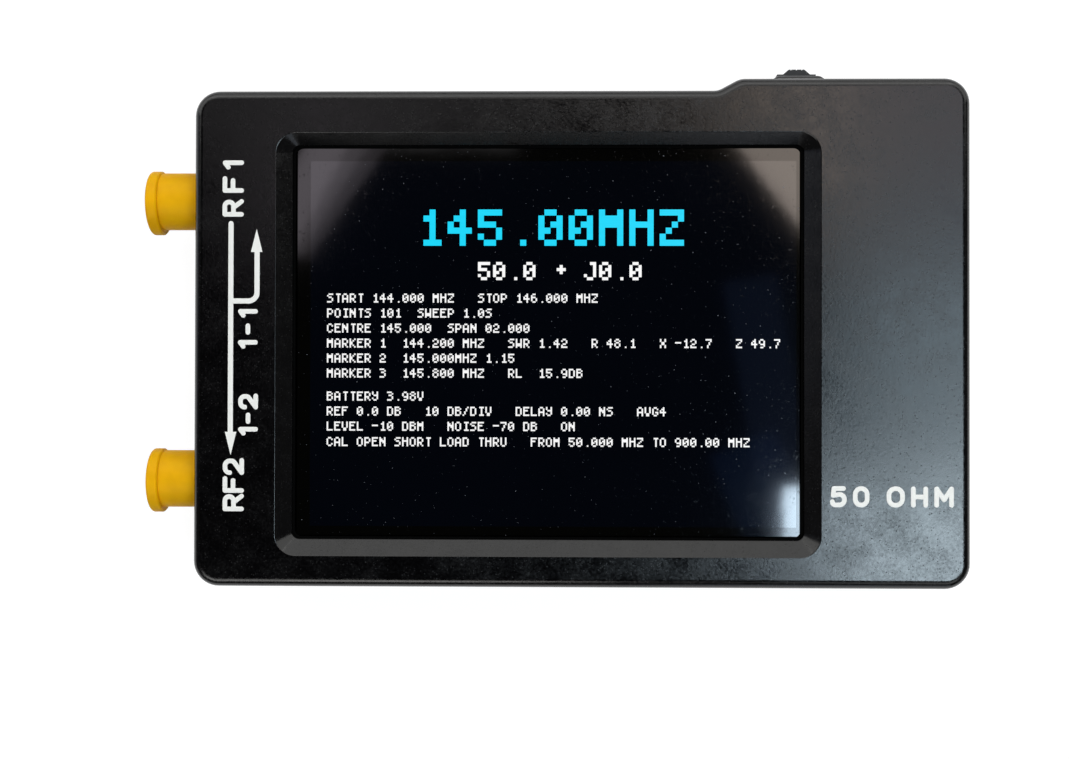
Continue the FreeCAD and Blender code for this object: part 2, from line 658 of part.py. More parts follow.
def battery_fence(cover):
    """Low ribs on the floor that keep the battery in its place."""
    right = "(battery_left + battery_width)"
    top = "(battery_bottom + battery_height)"
    middle_across = "(battery_left + battery_width/2)"
    low, high = "back_plate", "back_plate + fence_tall"
    near, far = "fence_gap", "(fence_gap + fence_thick)"
    for start, end in (("battery_bottom", "battery_bottom + battery_height/4"),
                       (top + " - battery_height/4", top)):
        cover.pad("Z", low, high, rectangle("battery_left - " + far, "battery_left - " + near,
                                            start, end))
        cover.pad("Z", low, high, rectangle(right + " + " + near, right + " + " + far, start, end))
    cover.pad("Z", low, high,
              rectangle(middle_across + " - battery_width/4", middle_across + " + battery_width/4",
                        top + " + " + near, top + " + " + far))


def board_rests(cover):
    """Posts on the floor under the board's long sides, between the parts on its underside."""
    edge = "board_height/2"
    wall = "(case_height/2 - case_wall + lip_inset/5)"
    for across in ("-board_width/4", "board_width/7"):
        for side in ("", "-"):
            low, high = side + edge + " - rest_thick", side + wall
            if side:
                low, high = high, side + edge + " + rest_thick"
            cover.pad("Z", "back_plate", BOARD_UNDER,
                      rectangle(across + " - rest_width/2", across + " + rest_width/2", low, high))


def case_screws():
    """Four pan-head screws in one node, driven from the back."""
    screws = []
    for number, (across, up) in enumerate(screw_places(), start=1):
        screw = Piece("case_screw_%d" % number)
        nodes.remove(screw.body)
        screw.pad("Z", "screw_seat - screw_head_tall", "screw_seat",
                  circle(across, up, "screw_head_radius"))
        screw.dress("Fillet", "screw_head_tall/2", flat_at("Z", "screw_seat - screw_head_tall"))
        screw.pad("Z", "screw_seat", "screw_seat + screw_length", circle(across, up, "screw_radius"))
        screw.dress("Chamfer", "screw_radius/2", flat_at("Z", "screw_seat + screw_length"))
        drive_low = "screw_seat - screw_head_tall"
        for half_across, half_up in (("drive_reach", "drive_slot/2"), ("drive_slot/2", "drive_reach")):
            screw.cut("Z", drive_low, drive_low + " + drive_depth",
                      around(across, up, half_across, half_up))
        screws.append(screw.body)
    group("case_screws", screws)


# ---------------------------------------------------------------- board and display

def main_board():
    board = Piece("main_board")
    board.pad("Z", BOARD_UNDER, BOARD_TOP,
              around("0", "0", "board_width/2", "board_height/2", "board_corner"))
    board.cut("Z", BOARD_UNDER, BOARD_TOP,
              *[circle(across, up, "board_hole_radius") for across, up in screw_places()])
    for side in ("-", ""):
        board.cut("Z", BOARD_UNDER, BOARD_TOP,
                  rectangle("-board_width/2 - 1", "-board_width/2 + tail_length + 0.3",
                            side + "jack_up - tail_radius - 0.2",
                            side + "jack_up + tail_radius + 0.2"))


def module_rectangle(inset="0", rounding="module_corner"):
    return rectangle("module_left + " + inset, "module_left + module_width - " + inset,
                     "module_bottom + " + inset, "module_bottom + module_height - " + inset, rounding)


def window(spread, rounding):
    """The opening for the display, drawn wider by a distance on each side."""
    return rectangle("window_left - " + spread, "window_right + " + spread,
                     "window_bottom - " + spread, "window_top + " + spread, rounding)


def display():
    """Gasket, touch panel, the cell in its white frame, foam tape, and the ribbon to the board."""
    gasket = Piece("display_gasket")
    gasket.pad("Z", PANEL_TOP, PLATE_UNDER, window("gasket_cover", "window_corner"),
               window("-gasket_show", "window_corner - gasket_show/4"))
    panel = Piece("touch_panel")
    panel.pad("Z", FRAME_HIGH, PANEL_TOP, module_rectangle())
    frame = Piece("display_frame")
    frame.pad("Z", FRAME_LOW, FRAME_HIGH, module_rectangle())
    frame.cut("Z", FRAME_HIGH + " - cell_gap - cell_thick", FRAME_HIGH,
              module_rectangle("frame_rim", "module_corner/2"))
    cell = Piece("display_cell")
    cell.pad("Z", FRAME_HIGH + " - cell_gap - cell_thick", FRAME_HIGH + " - cell_gap",
             module_rectangle("(frame_rim + rib_gap/2)", "module_corner/3"))
    right = "module_left + module_width"
    low, high = "module_bottom + tape_width/4", "module_bottom + module_height - tape_width/4"
    strips = [block("display_tape_left", "module_left + tape_width/4", "module_left + tape_width*5/4",
                    low, high, BOARD_TOP, FRAME_LOW, False),
              block("display_tape_right", right + " - tape_width*5/4", right + " - tape_width/4",
                    low, high, BOARD_TOP, FRAME_LOW, False)]
    group("display_tape", strips)
    display_ribbon()


def display_ribbon():
    """A flat ribbon out of the frame's right end, bent down onto its pads on the board."""
    ribbon = Piece("display_ribbon")
    start = "(module_left + module_width)"
    high = "(seam_level + board_thick/2 + tape_thick + frame_thick/3)"
    bend = start + " + ribbon_reach/2"
    outer = "ribbon_bend + ribbon_thick"
    ribbon.pad("Y", "-ribbon_width/2", "ribbon_width/2",
               outline((start, high),
                       (bend, high, "ribbon_bend"),
                       (bend, BOARD_TOP, outer),
                       (start + " + ribbon_reach", BOARD_TOP),
                       (start + " + ribbon_reach", BOARD_TOP + " + ribbon_thick"),
                       (bend + " + ribbon_thick", BOARD_TOP + " + ribbon_thick", "ribbon_bend"),
                       (bend + " + ribbon_thick", high + " + ribbon_thick", outer),
                       (start, high + " + ribbon_thick")))


# ---------------------------------------------------------------- RF jacks and dust caps

def rf_jack(number, up):
    """An edge-mounted coaxial jack: flange, barrel, bore and four solder legs."""
    jack = Piece("rf_jack_%d" % number)
    board_edge = "-board_width/2"
    jack.pad("X", JACK_MOUTH, FLANGE_FRONT, circle(up, "seam_level", "jack_radius"))
    jack.dress("Chamfer", "jack_bevel", flat_at("X", JACK_MOUTH))
    jack.pad("X", FLANGE_FRONT, board_edge,
             around(up, "seam_level", "flange_side/2", "flange_side/2"))
    jack.cut("X", JACK_MOUTH, board_edge, circle(up, "seam_level", "insulator_radius"))
    jack.cut("X", JACK_MOUTH, JACK_MOUTH + " + mouth_depth",
             circle(up, "seam_level", "mouth_radius"))
    for side in ("-", "+"):
        for low, high in ((BOARD_TOP, BOARD_TOP + " + leg_side"),
                          (BOARD_UNDER + " - leg_side", BOARD_UNDER)):
            middle = "%s %s leg_spread" % (up, side)
            jack.pad("X", board_edge, board_edge + " + leg_length",
                     rectangle(middle + " - leg_side/2", middle + " + leg_side/2", low, high))

    insulator = Piece("rf_insulator_%d" % number)
    insulator.pad("X", JACK_MOUTH + " + mouth_depth", board_edge,
                  circle(up, "seam_level", "insulator_radius"),
                  circle(up, "seam_level", "contact_radius"))

    contact = Piece("rf_contact_%d" % number)
    contact.pad("X", JACK_MOUTH + " + mouth_depth", board_edge,
                circle(up, "seam_level", "contact_radius"))
    contact.pad("X", board_edge, board_edge + " + tail_length",
                circle(up, "seam_level", "tail_radius"))
    contact.cut("X", JACK_MOUTH + " + mouth_depth", JACK_MOUTH + " + mouth_depth + socket_depth",
                circle(up, "seam_level", "socket_radius"))


def dust_cap(number, up, slack):
    """A soft push-on cap with a grip rim round its outer end, a little short of its full seat."""
    cap = Piece("dust_cap_%d" % number)
    inner_end = JACK_MOUTH + " - cap_gap - " + slack
    end = inner_end + " - cap_end"
    mouth = FLANGE_FRONT + " - cap_stand_off - " + slack
    grip_up = up + " - grip_offset"
    cap.pad("X", end, mouth, circle(up, "seam_level", "cap_radius"))
    cap.pad("X", end, end + " + grip_length", circle(grip_up, "seam_level", "grip_radius"))
    cap.dress("Fillet", "grip_round", flat_at("X", end))
    cap.dress("Chamfer", "grip_bevel", both(flat_at("X", end + " + grip_length"), wider("cap_radius")))
    cap.cut("X", inner_end, mouth, circle(up, "seam_level", "jack_radius + cap_fit"))
    cap.cut("X", end, end + " + cap_dish", circle(grip_up, "seam_level", "grip_radius - dish_rim"))


# ---------------------------------------------------------------- USB socket

def usb_socket():
    """A drawn metal shell round a tongue, soldered under the board."""
    shell = Piece("usb_shell")
    middle = "(seam_level - board_thick/2 - usb_tall/2)"
    back = "usb_front - usb_length"
    shell.pad("X", back, "usb_front",
              around("0", middle, "usb_width/2", "usb_tall/2", "usb_tall/2 - 0.01"))
    shell.cut("X", back + " + usb_back", "usb_front",
              around("0", middle, "(usb_width/2 - usb_sheet)", "(usb_tall/2 - usb_sheet)",
                     "usb_tall/2 - usb_sheet - 0.01"))
    tongue_piece = Piece("usb_tongue")
    tongue_piece.pad("X", back + " + usb_back", "usb_front - tongue_inset",
                     around("0", middle, "tongue_width/2", "tongue_thick/2"))


# ---------------------------------------------------------------- jog switch

def jog_switch():
    """A three-way switch: its carriage slides when pushed in, and its lever turns on the carriage."""
    floor = BOARD_UNDER + " - jog_tall"
    ceiling = BOARD_UNDER + " - jog_roof"
    left, right = "jog_middle - jog_half", "jog_middle + jog_half"

    housing = Piece("jog_housing")
    housing.pad("Z", floor, BOARD_UNDER, rectangle(left, right, "jog_rear", "jog_front"))
    housing.cut("Z", floor, ceiling,
                rectangle(left + " + jog_shell", right + " - jog_shell", "jog_rear + jog_shell",
                          "jog_front + 1"))

    cover = Piece("jog_cover")
    cover.pad("Z", floor + " - jog_cover_thick", floor, rectangle(left, right, "jog_rear", "jog_front"))
    middle_up = "(jog_rear + jog_front)/2"
    for near, far in ((left + " - jog_cover_thick", left), (right, right + " + jog_cover_thick")):
        cover.pad("Z", floor + " - jog_cover_thick", floor + " + jog_tab",
                  rectangle(near, far, middle_up + " - jog_tab/2", middle_up + " + jog_tab/2"))

    carriage = Piece("jog_carriage")
    half = "(jog_half - jog_shell - jog_play)"
    plate_low = ceiling + " - jog_play - carriage_thick"
    carriage.pad("Z", plate_low, ceiling + " - jog_play",
                 rectangle("jog_middle - " + half, "jog_middle + " + half, "carriage_rear",
                           "carriage_front"))
    carriage.pad("Z", floor + " + jog_play", plate_low, circle("jog_middle", "pivot_up", "pivot_radius"))

    jog_lever(floor, plate_low)
    jog_dome(floor, ceiling)
    terminals("jog_terminals", "jog_middle", "tab_pitch", 4, "jog_rear", "tab_half")


def terminals(label, middle, spread, count, rear, side):
    """Solder tabs behind a switch, flat on the board."""
    members = []
    for number in range(count):
        across = "(%s + %s*%s)" % (middle, number - (count - 1) / 2, spread)
        members.append(block("%s_%d" % (label, number + 1), across + " - " + side, across + " + " + side,
                             rear + " - tab_length", rear, BOARD_UNDER + " - tab_thick", BOARD_UNDER,
                             False))
    group(label, members)


def jog_lever(floor, plate_low):
    """Hub on the carriage's post, arm out through the wall, stop wings and grooved finger nub."""
    lever = Piece("jog_lever")
    low = plate_low + " - jog_play - hub_thick"
    high = plate_low + " - jog_play"
    lever.pad("Z", low, high, circle("jog_middle", "pivot_up", "hub_radius"))
    lever.pad("Z", low, high,
              rectangle("jog_middle - arm_half", "jog_middle + arm_half", "pivot_up", "wing_near + 0.1"))
    lever.cut("Z", low, high, circle("jog_middle", "pivot_up", "pivot_radius + jog_play"))
    middle = "(seam_level - board_thick/2 - jog_tall/2)"
    nub_low, nub_high = middle + " - nub_tall/2", middle + " + nub_tall/2"
    lever.pad("Z", nub_low, nub_high,
              outline(("jog_middle - wing_half", "wing_near"),
                      ("jog_middle + wing_half", "wing_near"),
                      ("jog_middle + wing_half", "wing_far"),
                      ("jog_middle + nub_base_half", "wing_far"),
                      ("jog_middle + nub_tip_half", "nub_tip"),
                      ("jog_middle - nub_tip_half", "nub_tip"),
                      ("jog_middle - nub_base_half", "wing_far"),
                      ("jog_middle - wing_half", "wing_far")))
    for place in ("-1", "0", "1"):
        groove = "jog_middle + %s*nub_tip_half*0.7" % place
        lever.cut("Z", nub_low, nub_high,
                  rectangle(groove + " - nub_groove/2", groove + " + nub_groove/2",
                            "nub_tip - nub_groove", "nub_tip + 0.1"))


def jog_dome(floor, ceiling):
    """A bowed leaf behind the carriage that snaps when the carriage is pushed onto it."""
    leaf = Piece("jog_dome")
    left, right = "jog_middle - dome_half", "jog_middle + dome_half"
    crown = "dome_rear + dome_rise"
    leaf.pad("Z", floor + " + jog_tall/4", ceiling + " - jog_tall/8",
             outline((left, "dome_rear"),
                     (left + " + dome_half/4", "dome_rear"),
                     ("jog_middle - dome_half/3", crown + " - dome_sheet"),
                     ("jog_middle + dome_half/3", crown + " - dome_sheet"),
                     (right + " - dome_half/4", "dome_rear"),
                     (right, "dome_rear"),
                     (right, "dome_rear + dome_sheet"),
                     (right + " - dome_half/4", "dome_rear + dome_sheet"),
                     ("jog_middle + dome_half/3", crown),
                     ("jog_middle - dome_half/3", crown),
                     (left + " + dome_half/4", "dome_rear + dome_sheet"),
                     (left, "dome_rear + dome_sheet")))


# ---------------------------------------------------------------- power switch

def power_switch():
    """A slide switch whose knob reaches out through its slot beside the jog lever."""
    left, right = "power_left", "power_left + power_width"
    low = BOARD_UNDER + " - power_tall"
    frame = Piece("power_frame")
    frame.pad("Z", low, BOARD_UNDER, rectangle(left, right, "power_rear", "power_front"))
    frame.cut("Z", low + " + power_sheet", BOARD_UNDER + " - power_sheet",
              rectangle(left + " + power_sheet*3", right + " - power_sheet*3",
                        "power_rear + power_sheet*2", "power_front + 1"))
    knob = Piece("power_knob")
    knob_low = BOARD_UNDER + " - power_tall/2 - knob_thick/2"
    knob_high = BOARD_UNDER + " - power_tall/2 + knob_thick/2"
    knob.pad("Z", knob_low, knob_high,
             outline(("knob_middle - slider_half", "power_rear + power_sheet*2 + jog_play"),
                     ("knob_middle + slider_half", "power_rear + power_sheet*2 + jog_play"),
                     ("knob_middle + slider_half", "power_front - power_sheet"),
                     ("knob_middle + knob_half", "power_front - power_sheet"),
                     ("knob_middle + knob_half", "knob_tip"),
                     ("knob_middle - knob_half", "knob_tip"),
                     ("knob_middle - knob_half", "power_front - power_sheet"),
                     ("knob_middle - slider_half", "power_front - power_sheet")))
    knob.dress("Fillet", "knob_half/3", both(along("Z"), flat_at("Y", "knob_tip")))
    terminals("power_terminals", "power_left + power_width/2", "tab_pitch", 3, "power_rear", "tab_half")


# ---------------------------------------------------------------- battery and leads

def battery():
    cell = Piece("battery_cell")
    low = "back_plate + battery_pad"
    right, top = "battery_left + battery_width", "battery_bottom + battery_height"
    cell.pad("Y", "battery_bottom", top,
             rectangle("battery_left", right, low, low + " + battery_thick", "battery_round"))
    block("battery_pad", "battery_left + 2", right + " - 2", "battery_bottom + 2", top + " - 2",
          "back_plate", low)


def lead_path(points):
    """Straight runs joined by tangent arcs, each as large as its shorter run allows."""
    points = [FreeCAD.Vector(*point) for point in points]
    edges = []
    here = points[0]
    for before, corner, after in zip(points, points[1:], points[2:]):
        back, on = before - corner, after - corner
        reach = 0.45 * min(back.Length, on.Length)
        back.normalize()
        on.normalize()
        start, end = corner + back * reach, corner + on * reach
        bisector = back + on
        bisector.normalize()
        half_angle = back.getAngle(on) / 2
        radius = reach * math.tan(half_angle)
        centre = corner + bisector * (reach / math.cos(half_angle))
        edges.append(Part.LineSegment(here, start).toShape())
        edges.append(Part.Arc(start, centre - bisector * radius, end).toShape())
        here = end
    edges.append(Part.LineSegment(here, points[-1]).toShape())
    return Part.Wire(edges)


def battery_leads():
    """Two insulated leads from the cell's end to the plug under the board."""
    plug_side = value("socket_right + plug_tail")
    end_height = value("back_plate + battery_pad + battery_thick/2")
    plug_height = value(BOARD_UNDER + " - lead_drop")
    cell_end = value("battery_bottom")
    for colour in ("red", "black"):
        plug_up = value("lead_%s_up" % colour)
        cell_across = value("lead_%s_across" % colour)
        path = lead_path([(plug_side, plug_up, plug_height),
                          (cell_across - value("lead_turn"), plug_up, plug_height),
                          (cell_across, plug_up + value("lead_drift"), end_height),
                          (cell_across, cell_end, end_height)])
        profile = Part.Wire([Part.Circle(FreeCAD.Vector(plug_side, plug_up, plug_height),
                                         FreeCAD.Vector(1, 0, 0), value("lead_radius")).toShape()])
        lead = doc.addObject("Part::Feature", "battery_lead_" + colour)
        lead.Label = "battery_lead_" + colour
        lead.Shape = path.makePipeShell([profile], True, False)
        lead.Placement = FreeCAD.Placement()
        nodes.append(lead)


def battery_connector():
    """A two-way socket under the board with the leads' plug in it."""
    under = BOARD_UNDER + " - socket_tall"
    socket = Piece("battery_socket")
    socket.pad("Z", under, BOARD_UNDER,
               rectangle("socket_left", "socket_right", "socket_low", "socket_high"))
    socket.cut("X", "socket_left + socket_end", "socket_right",
               rectangle("socket_low + socket_wall", "socket_high - socket_wall",
                         under + " + socket_wall", BOARD_UNDER + " - socket_wall"))
    inset = "(socket_wall + plug_gap)"
    plug = Piece("battery_plug")
    plug.pad("X", "socket_left + socket_end", "socket_right + plug_tail",
             rectangle("socket_low + " + inset, "socket_high - " + inset,
                       under + " + " + inset, BOARD_UNDER + " - " + inset))


# ---------------------------------------------------------------- parts soldered under the board

def shield_can(number, low, high):
    """A drawn screening can over one receiver channel, open towards the board."""
    can = Piece("shield_can_%d" % number)
    top = BOARD_UNDER + " - can_tall"
    can.pad("Z", top, BOARD_UNDER, rectangle("can_left", "can_right", low, high))
    can.dress("Fillet", "can_round", flat_at("Z", top))
    can.cut("Z", top + " + can_sheet", BOARD_UNDER,
            rectangle("can_left + can_sheet", "can_right - can_sheet", low + " + can_sheet",
                      high + " - can_sheet"))


def chips(label, places, tall="chip_tall"):
    """Flat packages under the board, each given as its middle and its two side lengths."""
    members = []
    for number, (across, up, wide, high) in enumerate(places, start=1):
        name = label if len(places) == 1 else "%s_%d" % (label, number)
        members.append(block(name, "%s - %s/2" % (across, wide), "%s + %s/2" % (across, wide),
                             "%s - %s/2" % (up, high), "%s + %s/2" % (up, high),
                             BOARD_UNDER + " - " + tall, BOARD_UNDER, len(places) == 1))
    if len(places) > 1:
        group(label, members)


def board_parts():
    shield_can(1, "can_near", "can_far")
    shield_can(2, "-can_far", "-can_near")
    mixer, crystal = ("mixer_width", "mixer_height"), ("crystal_width", "crystal_height")
    lying, standing = ("passive_long", "passive_short"), ("passive_short", "passive_long")
    chips("mixer_chips", [(-28, 13) + mixer, (-16, 13) + mixer, (-22, -13) + mixer])
    chips("microcontroller", [(-1.5, 8.5, "controller_side", "controller_side")])
    chips("clock_chip", [(-2.5, -1.5, "small_chip_side", "small_chip_side")])
    chips("codec_chip", [(-2, -10, "codec_side", "codec_side")])
    chips("crystals", [(3.2, -2.5) + crystal, (-2, 15.5) + crystal])
    chips("charger_chip", [(33.5, -24, "small_chip_side", "small_chip_side")])
    chips("status_lights", [(33.8, 11.5) + lying, (33.8, 13.5) + lying], "chip_tall/2")
    chips("board_passives",
          [(3.4, "(3 + %d*passive_pitch)" % step) + lying for step in range(8)]
          + [("(-5.6 + %d*passive_pitch)" % step, -17.5) + standing for step in range(6)],
          "chip_tall/2")


def check_document():
    """Stop if any object has failed or any piece has no sound solid."""
    doc.recompute()
    for item in doc.Objects:
        if "Invalid" in item.State or "Error" in item.State:
            raise RuntimeError("%s failed: %s" % (item.Label, item.State))
    for node in nodes:
        shape = node.Shape
        if shape.isNull() or not shape.isValid() or not shape.Solids:
            raise RuntimeError("%s has no sound solid" % node.Label)


def write_parts():
    os.makedirs("parts", exist_ok=True)
    for node in nodes:
        node.Shape.exportStep("parts/%s.step" % node.Label)
        print("%-20s %2d solids %10.2f mm3" % (node.Label, len(node.Shape.Solids), node.Shape.Volume))


fill_sheet()
front_cover()
back_cover()
case_screws()
main_board()
display()
rf_jack(1, "jack_up")
rf_jack(2, "-jack_up")
dust_cap(1, "jack_up", "cap_slack")
dust_cap(2, "-jack_up", "0")
usb_socket()
jog_switch()
power_switch()
battery()
battery_leads()
battery_connector()
board_parts()
check_document()
write_parts()
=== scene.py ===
"""Looks of a hand-held antenna analyzer, laid out as an add-on and run as a script.

The packed solids are the fixed frame. Each operator dresses one group of their pieces, or adds the
print, the lit picture, the threads and the contacts that they leave out. Everything is in metres.
"""

import math

import bmesh
import bpy
from mathutils import Euler, Matrix, Vector


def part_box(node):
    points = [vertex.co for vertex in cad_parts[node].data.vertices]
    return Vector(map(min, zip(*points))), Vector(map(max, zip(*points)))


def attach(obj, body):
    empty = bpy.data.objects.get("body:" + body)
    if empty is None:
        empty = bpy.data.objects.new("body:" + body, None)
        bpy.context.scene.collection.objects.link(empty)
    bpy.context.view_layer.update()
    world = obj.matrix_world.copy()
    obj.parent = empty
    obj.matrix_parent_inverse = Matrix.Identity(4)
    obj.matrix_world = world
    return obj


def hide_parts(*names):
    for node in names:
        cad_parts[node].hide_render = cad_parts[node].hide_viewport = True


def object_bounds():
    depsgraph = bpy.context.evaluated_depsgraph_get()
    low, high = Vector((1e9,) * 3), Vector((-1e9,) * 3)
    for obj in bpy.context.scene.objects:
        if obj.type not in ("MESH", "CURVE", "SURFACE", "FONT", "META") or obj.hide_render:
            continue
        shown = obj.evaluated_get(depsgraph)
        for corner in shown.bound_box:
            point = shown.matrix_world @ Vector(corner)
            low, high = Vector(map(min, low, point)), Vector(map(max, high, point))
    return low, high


bl_info = {
    "name": "Antenna Analyzer Looks",
    "version": (1, 0, 0),
    "blender": (4, 5, 0),
    "location": "3D View > Sidebar > Analyzer",
    "description": "Finishes and fine detail of a hand-held antenna analyzer",
    "category": "Object",
}

MM = 0.001
MERGE = 0.001 * MM  # points nearer than this are one point

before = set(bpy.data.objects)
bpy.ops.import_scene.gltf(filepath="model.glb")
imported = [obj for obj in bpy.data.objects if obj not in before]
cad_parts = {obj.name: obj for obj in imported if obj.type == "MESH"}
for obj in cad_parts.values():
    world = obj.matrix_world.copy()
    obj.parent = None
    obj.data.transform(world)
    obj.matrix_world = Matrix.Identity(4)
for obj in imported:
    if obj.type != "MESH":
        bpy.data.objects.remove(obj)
cad_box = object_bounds()
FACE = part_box("front_cover")[1].z
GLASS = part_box("touch_panel")[1].z


# ------------------------------ settings

def length(name, description, default):
    return bpy.props.FloatProperty(name=name, description=description, default=default,
                                   unit="LENGTH", precision=5)


def factor(name, description, default):
    return bpy.props.FloatProperty(name=name, description=description, default=default,
                                   min=0, max=1, subtype="FACTOR")


def colour(name, description, default):
    return bpy.props.FloatVectorProperty(name=name, description=description, default=default,
                                         size=3, min=0, max=1, subtype="COLOR")


def point(name, description, default):
    return bpy.props.FloatVectorProperty(name=name, description=description, default=default,
                                         size=3, subtype="TRANSLATION", unit="LENGTH", precision=5)


class CaseSettings(bpy.types.PropertyGroup):
    """The two moulded covers."""
    plastic: colour("Plastic", "Colour of the moulded covers", (0.0006, 0.0005, 0.0007))
    roughness: factor("Roughness", "Gloss of the moulded texture", 0.19)
    grain: length("Grain", "Size of the spark-eroded texture", 0.30 * MM)
    grain_depth: length("Grain depth", "Depth of that texture", 0.008 * MM)


class DisplaySettings(bpy.types.PropertyGroup):
    """The lit picture, laid just over the touch panel."""
    cell: length("Cell", "Pitch of the picture's dots", 0.1806 * MM)
    left: length("Picture left", "Left side of the lit area", -32.25 * MM)
    right: length("Picture right", "Right side of the lit area", 25.65 * MM)
    low: length("Picture bottom", "Lower side of the lit area", -22.33 * MM)
    high: length("Picture top", "Upper side of the lit area", 21.25 * MM)
    # The black border is partly the cell's own border and partly painted shade of the gap under
    # the window's wall.
    border_and_gap_shade: point("Border", "Where the black border begins: left, right and lower side",
                  (-33.8 * MM, 26.05 * MM, -23.4 * MM))
    lift: length("Lift", "Height of the lit dots over the glass", 0.02 * MM)
    strip: colour("Strip", "Colour of the strip round the picture", (0.0006, 0.0006, 0.0004))
    sheen: factor("Sheen", "How much more the picture shines than the strip", 0.5)
    title: colour("Title", "Colour of the large line", (0.0, 0.716, 1.0))
    text: colour("Text", "Colour of the other lines", (1.0, 1.0, 1.0))
    glow: factor("Glow", "Strength of the lit dots", 1.0)


class MarkSettings(bpy.types.PropertyGroup):
    """The white print on the front face."""
    ink: colour("Ink", "Colour of the print", (0.86, 0.85, 0.81))
    thickness: length("Thickness", "How far the ink stands up", 0.015 * MM)
    letter_pen: length("Letter pen", "Stroke width of the letters", 0.56 * MM)
    line_pen: length("Line pen", "Stroke width of the arrows' lines", 0.62 * MM)


class JackSettings(bpy.types.PropertyGroup):
    """The coaxial jacks."""
    pitch: length("Pitch", "Pitch of the thread", 25.4 / 36 * MM)
    root: length("Root", "Radius at the bottom of the thread", 2.75 * MM)
    plating: colour("Plating", "Gold plating of the jacks", (0.83, 0.60, 0.24))


class CapSettings(bpy.types.PropertyGroup):
    """The dust caps on the jacks."""
    vinyl: colour("Vinyl", "Colour of the caps", (0.90, 0.46, 0.001))
    # Shade is painted shade: the colour given to the hollows of the caps' waves.
    shade: colour("Shade", "Colour in the hollows", (0.82, 0.40, 0.001))


class ScrewSettings(bpy.types.PropertyGroup):
    """The screws that hold the case together."""
    head: length("Head", "Radius of the pan head", 1.9 * MM)
    head_tall: length("Head height", "Height of the pan head", 1.4 * MM)
    shank: length("Shank", "Radius of the shank at the bottom of the thread", 0.95 * MM)
    pitch: length("Pitch", "Pitch of the thread", 0.9 * MM)
    ridge: length("Ridge", "Size of the thread's ridge", 0.24 * MM)


class SocketSettings(bpy.types.PropertyGroup):
    """The contacts in the charging socket."""
    contacts: bpy.props.IntProperty(
        name="Contacts", description="Contacts on each side of the tongue", default=12, min=1)
    contact_pitch: length("Contact pitch", "Distance from one contact to the next", 0.5 * MM)
    contact_size: point("Contact size", "Length, width and thickness of a contact",
                        (4.2 * MM, 0.27 * MM, 0.05 * MM))
    setback: length("Setback", "Way from the tongue's tip to its contacts", 0.6 * MM)


class StageSettings(bpy.types.PropertyGroup):
    """Floor, lights and camera."""
    eye: point("Eye", "Place of the camera", (-2.4727 * MM, -6.3519 * MM, 179.8188 * MM))
    turn: bpy.props.FloatVectorProperty(
        name="Turn", description="Turn of the camera from looking straight down",
        default=(0.0093, 0.0178, 0.0022), size=3, subtype="EULER", unit="ROTATION")
    focal: bpy.props.FloatProperty(
        name="Focal length", description="Lens of the camera", default=46.955, unit="CAMERA")
    floor_size: length("Floor", "Side of the square floor", 6.0)
    floor_grey: factor("Floor grey", "Share of the lamps' light that the floor gives back", 0.20)
    floor_glow: factor("Floor glow", "Brightness that the floor adds near the object", 0.90)
    sides: factor("Sides", "Brightness of the room round the backdrop", 0.07)
    ceiling: factor("Ceiling", "Brightness of the room overhead", 0.008)


SETTINGS = {
    "analyzer_case": CaseSettings,
    "analyzer_display": DisplaySettings,
    "analyzer_marks": MarkSettings,
    "analyzer_jacks": JackSettings,
    "analyzer_caps": CapSettings,
    "analyzer_screws": ScrewSettings,
    "analyzer_usb": SocketSettings,
    "analyzer_stage": StageSettings,
}


# ------------------------------ node trees as expressions

class Graph:
    """A node tree under construction."""

    def __init__(self, tree):
        self.tree = tree

    def add(self, kind, settings=None, inputs=None, output=0):
        """One node: first its settings, then its sockets' values or links. Gives one output."""
        node = self.tree.nodes.new(kind)
        for name, setting in (settings or {}).items():
            setattr(node, name, setting)
        for name, given in (inputs or {}).items():
            socket = self.find(node.inputs, name)
            for one in given if isinstance(given, list) else [given]:
                if isinstance(one, Value):
                    self.tree.links.new(one.socket, socket)
                else:
                    socket.default_value = one
        return Value(self, self.find(node.outputs, output)) if node.outputs else None

    @staticmethod
    def find(sockets, name):
        if isinstance(name, int):
            return sockets[name]
        return next(socket for socket in sockets if socket.name == name and socket.enabled)

    def mix(self, amount, low, high):
        """A colour between two colours."""
        return self.add("ShaderNodeMix", {"data_type": "RGBA"},
                        {"Factor": amount, "A": paint(low), "B": paint(high)}, "Result")

    def noise(self, coordinates, size, detail=2.0, roughness=0.5):
        """Soft noise from 0 to 1 whose features have about that size."""
        return self.add("ShaderNodeTexNoise", {},
                        {"Vector": coordinates, "Scale": 1 / size, "Detail": detail,
                         "Roughness": roughness}, "Fac")

    def specks(self, coordinates, size, share):
        """Round specks of mixed sizes, 1 at their middle, in that share of cells of that size."""
        largest, edge = 0.45, 0.12
        node = self.add("ShaderNodeTexVoronoi", {}, {"Vector": coordinates, "Scale": 1 / size},
                        "Distance").socket.node
        distance = Value(self, node.outputs["Distance"])
        chance = Value(self, node.outputs["Color"]).parts()[0]
        reach = self.step(chance, 1 - share, 1.0) * largest
        return 1 - self.step(distance - reach, -edge, 0.0)

    def stretch(self, coordinates, scale):
        """Coordinates stretched along the axes."""
        return self.add("ShaderNodeVectorMath", {"operation": "MULTIPLY"},
                        {0: coordinates, 1: scale}, "Vector")

    def step(self, amount, low, high):
        """0 below a limit, 1 above another and smooth between."""
        return self.add("ShaderNodeMapRange", {"interpolation_type": "SMOOTHSTEP"},
                        {"Value": amount, "From Min": low, "From Max": high}, "Result")

    def bump(self, height, depth):
        return self.add("ShaderNodeBump", {}, {"Height": height, "Distance": depth}, "Normal")


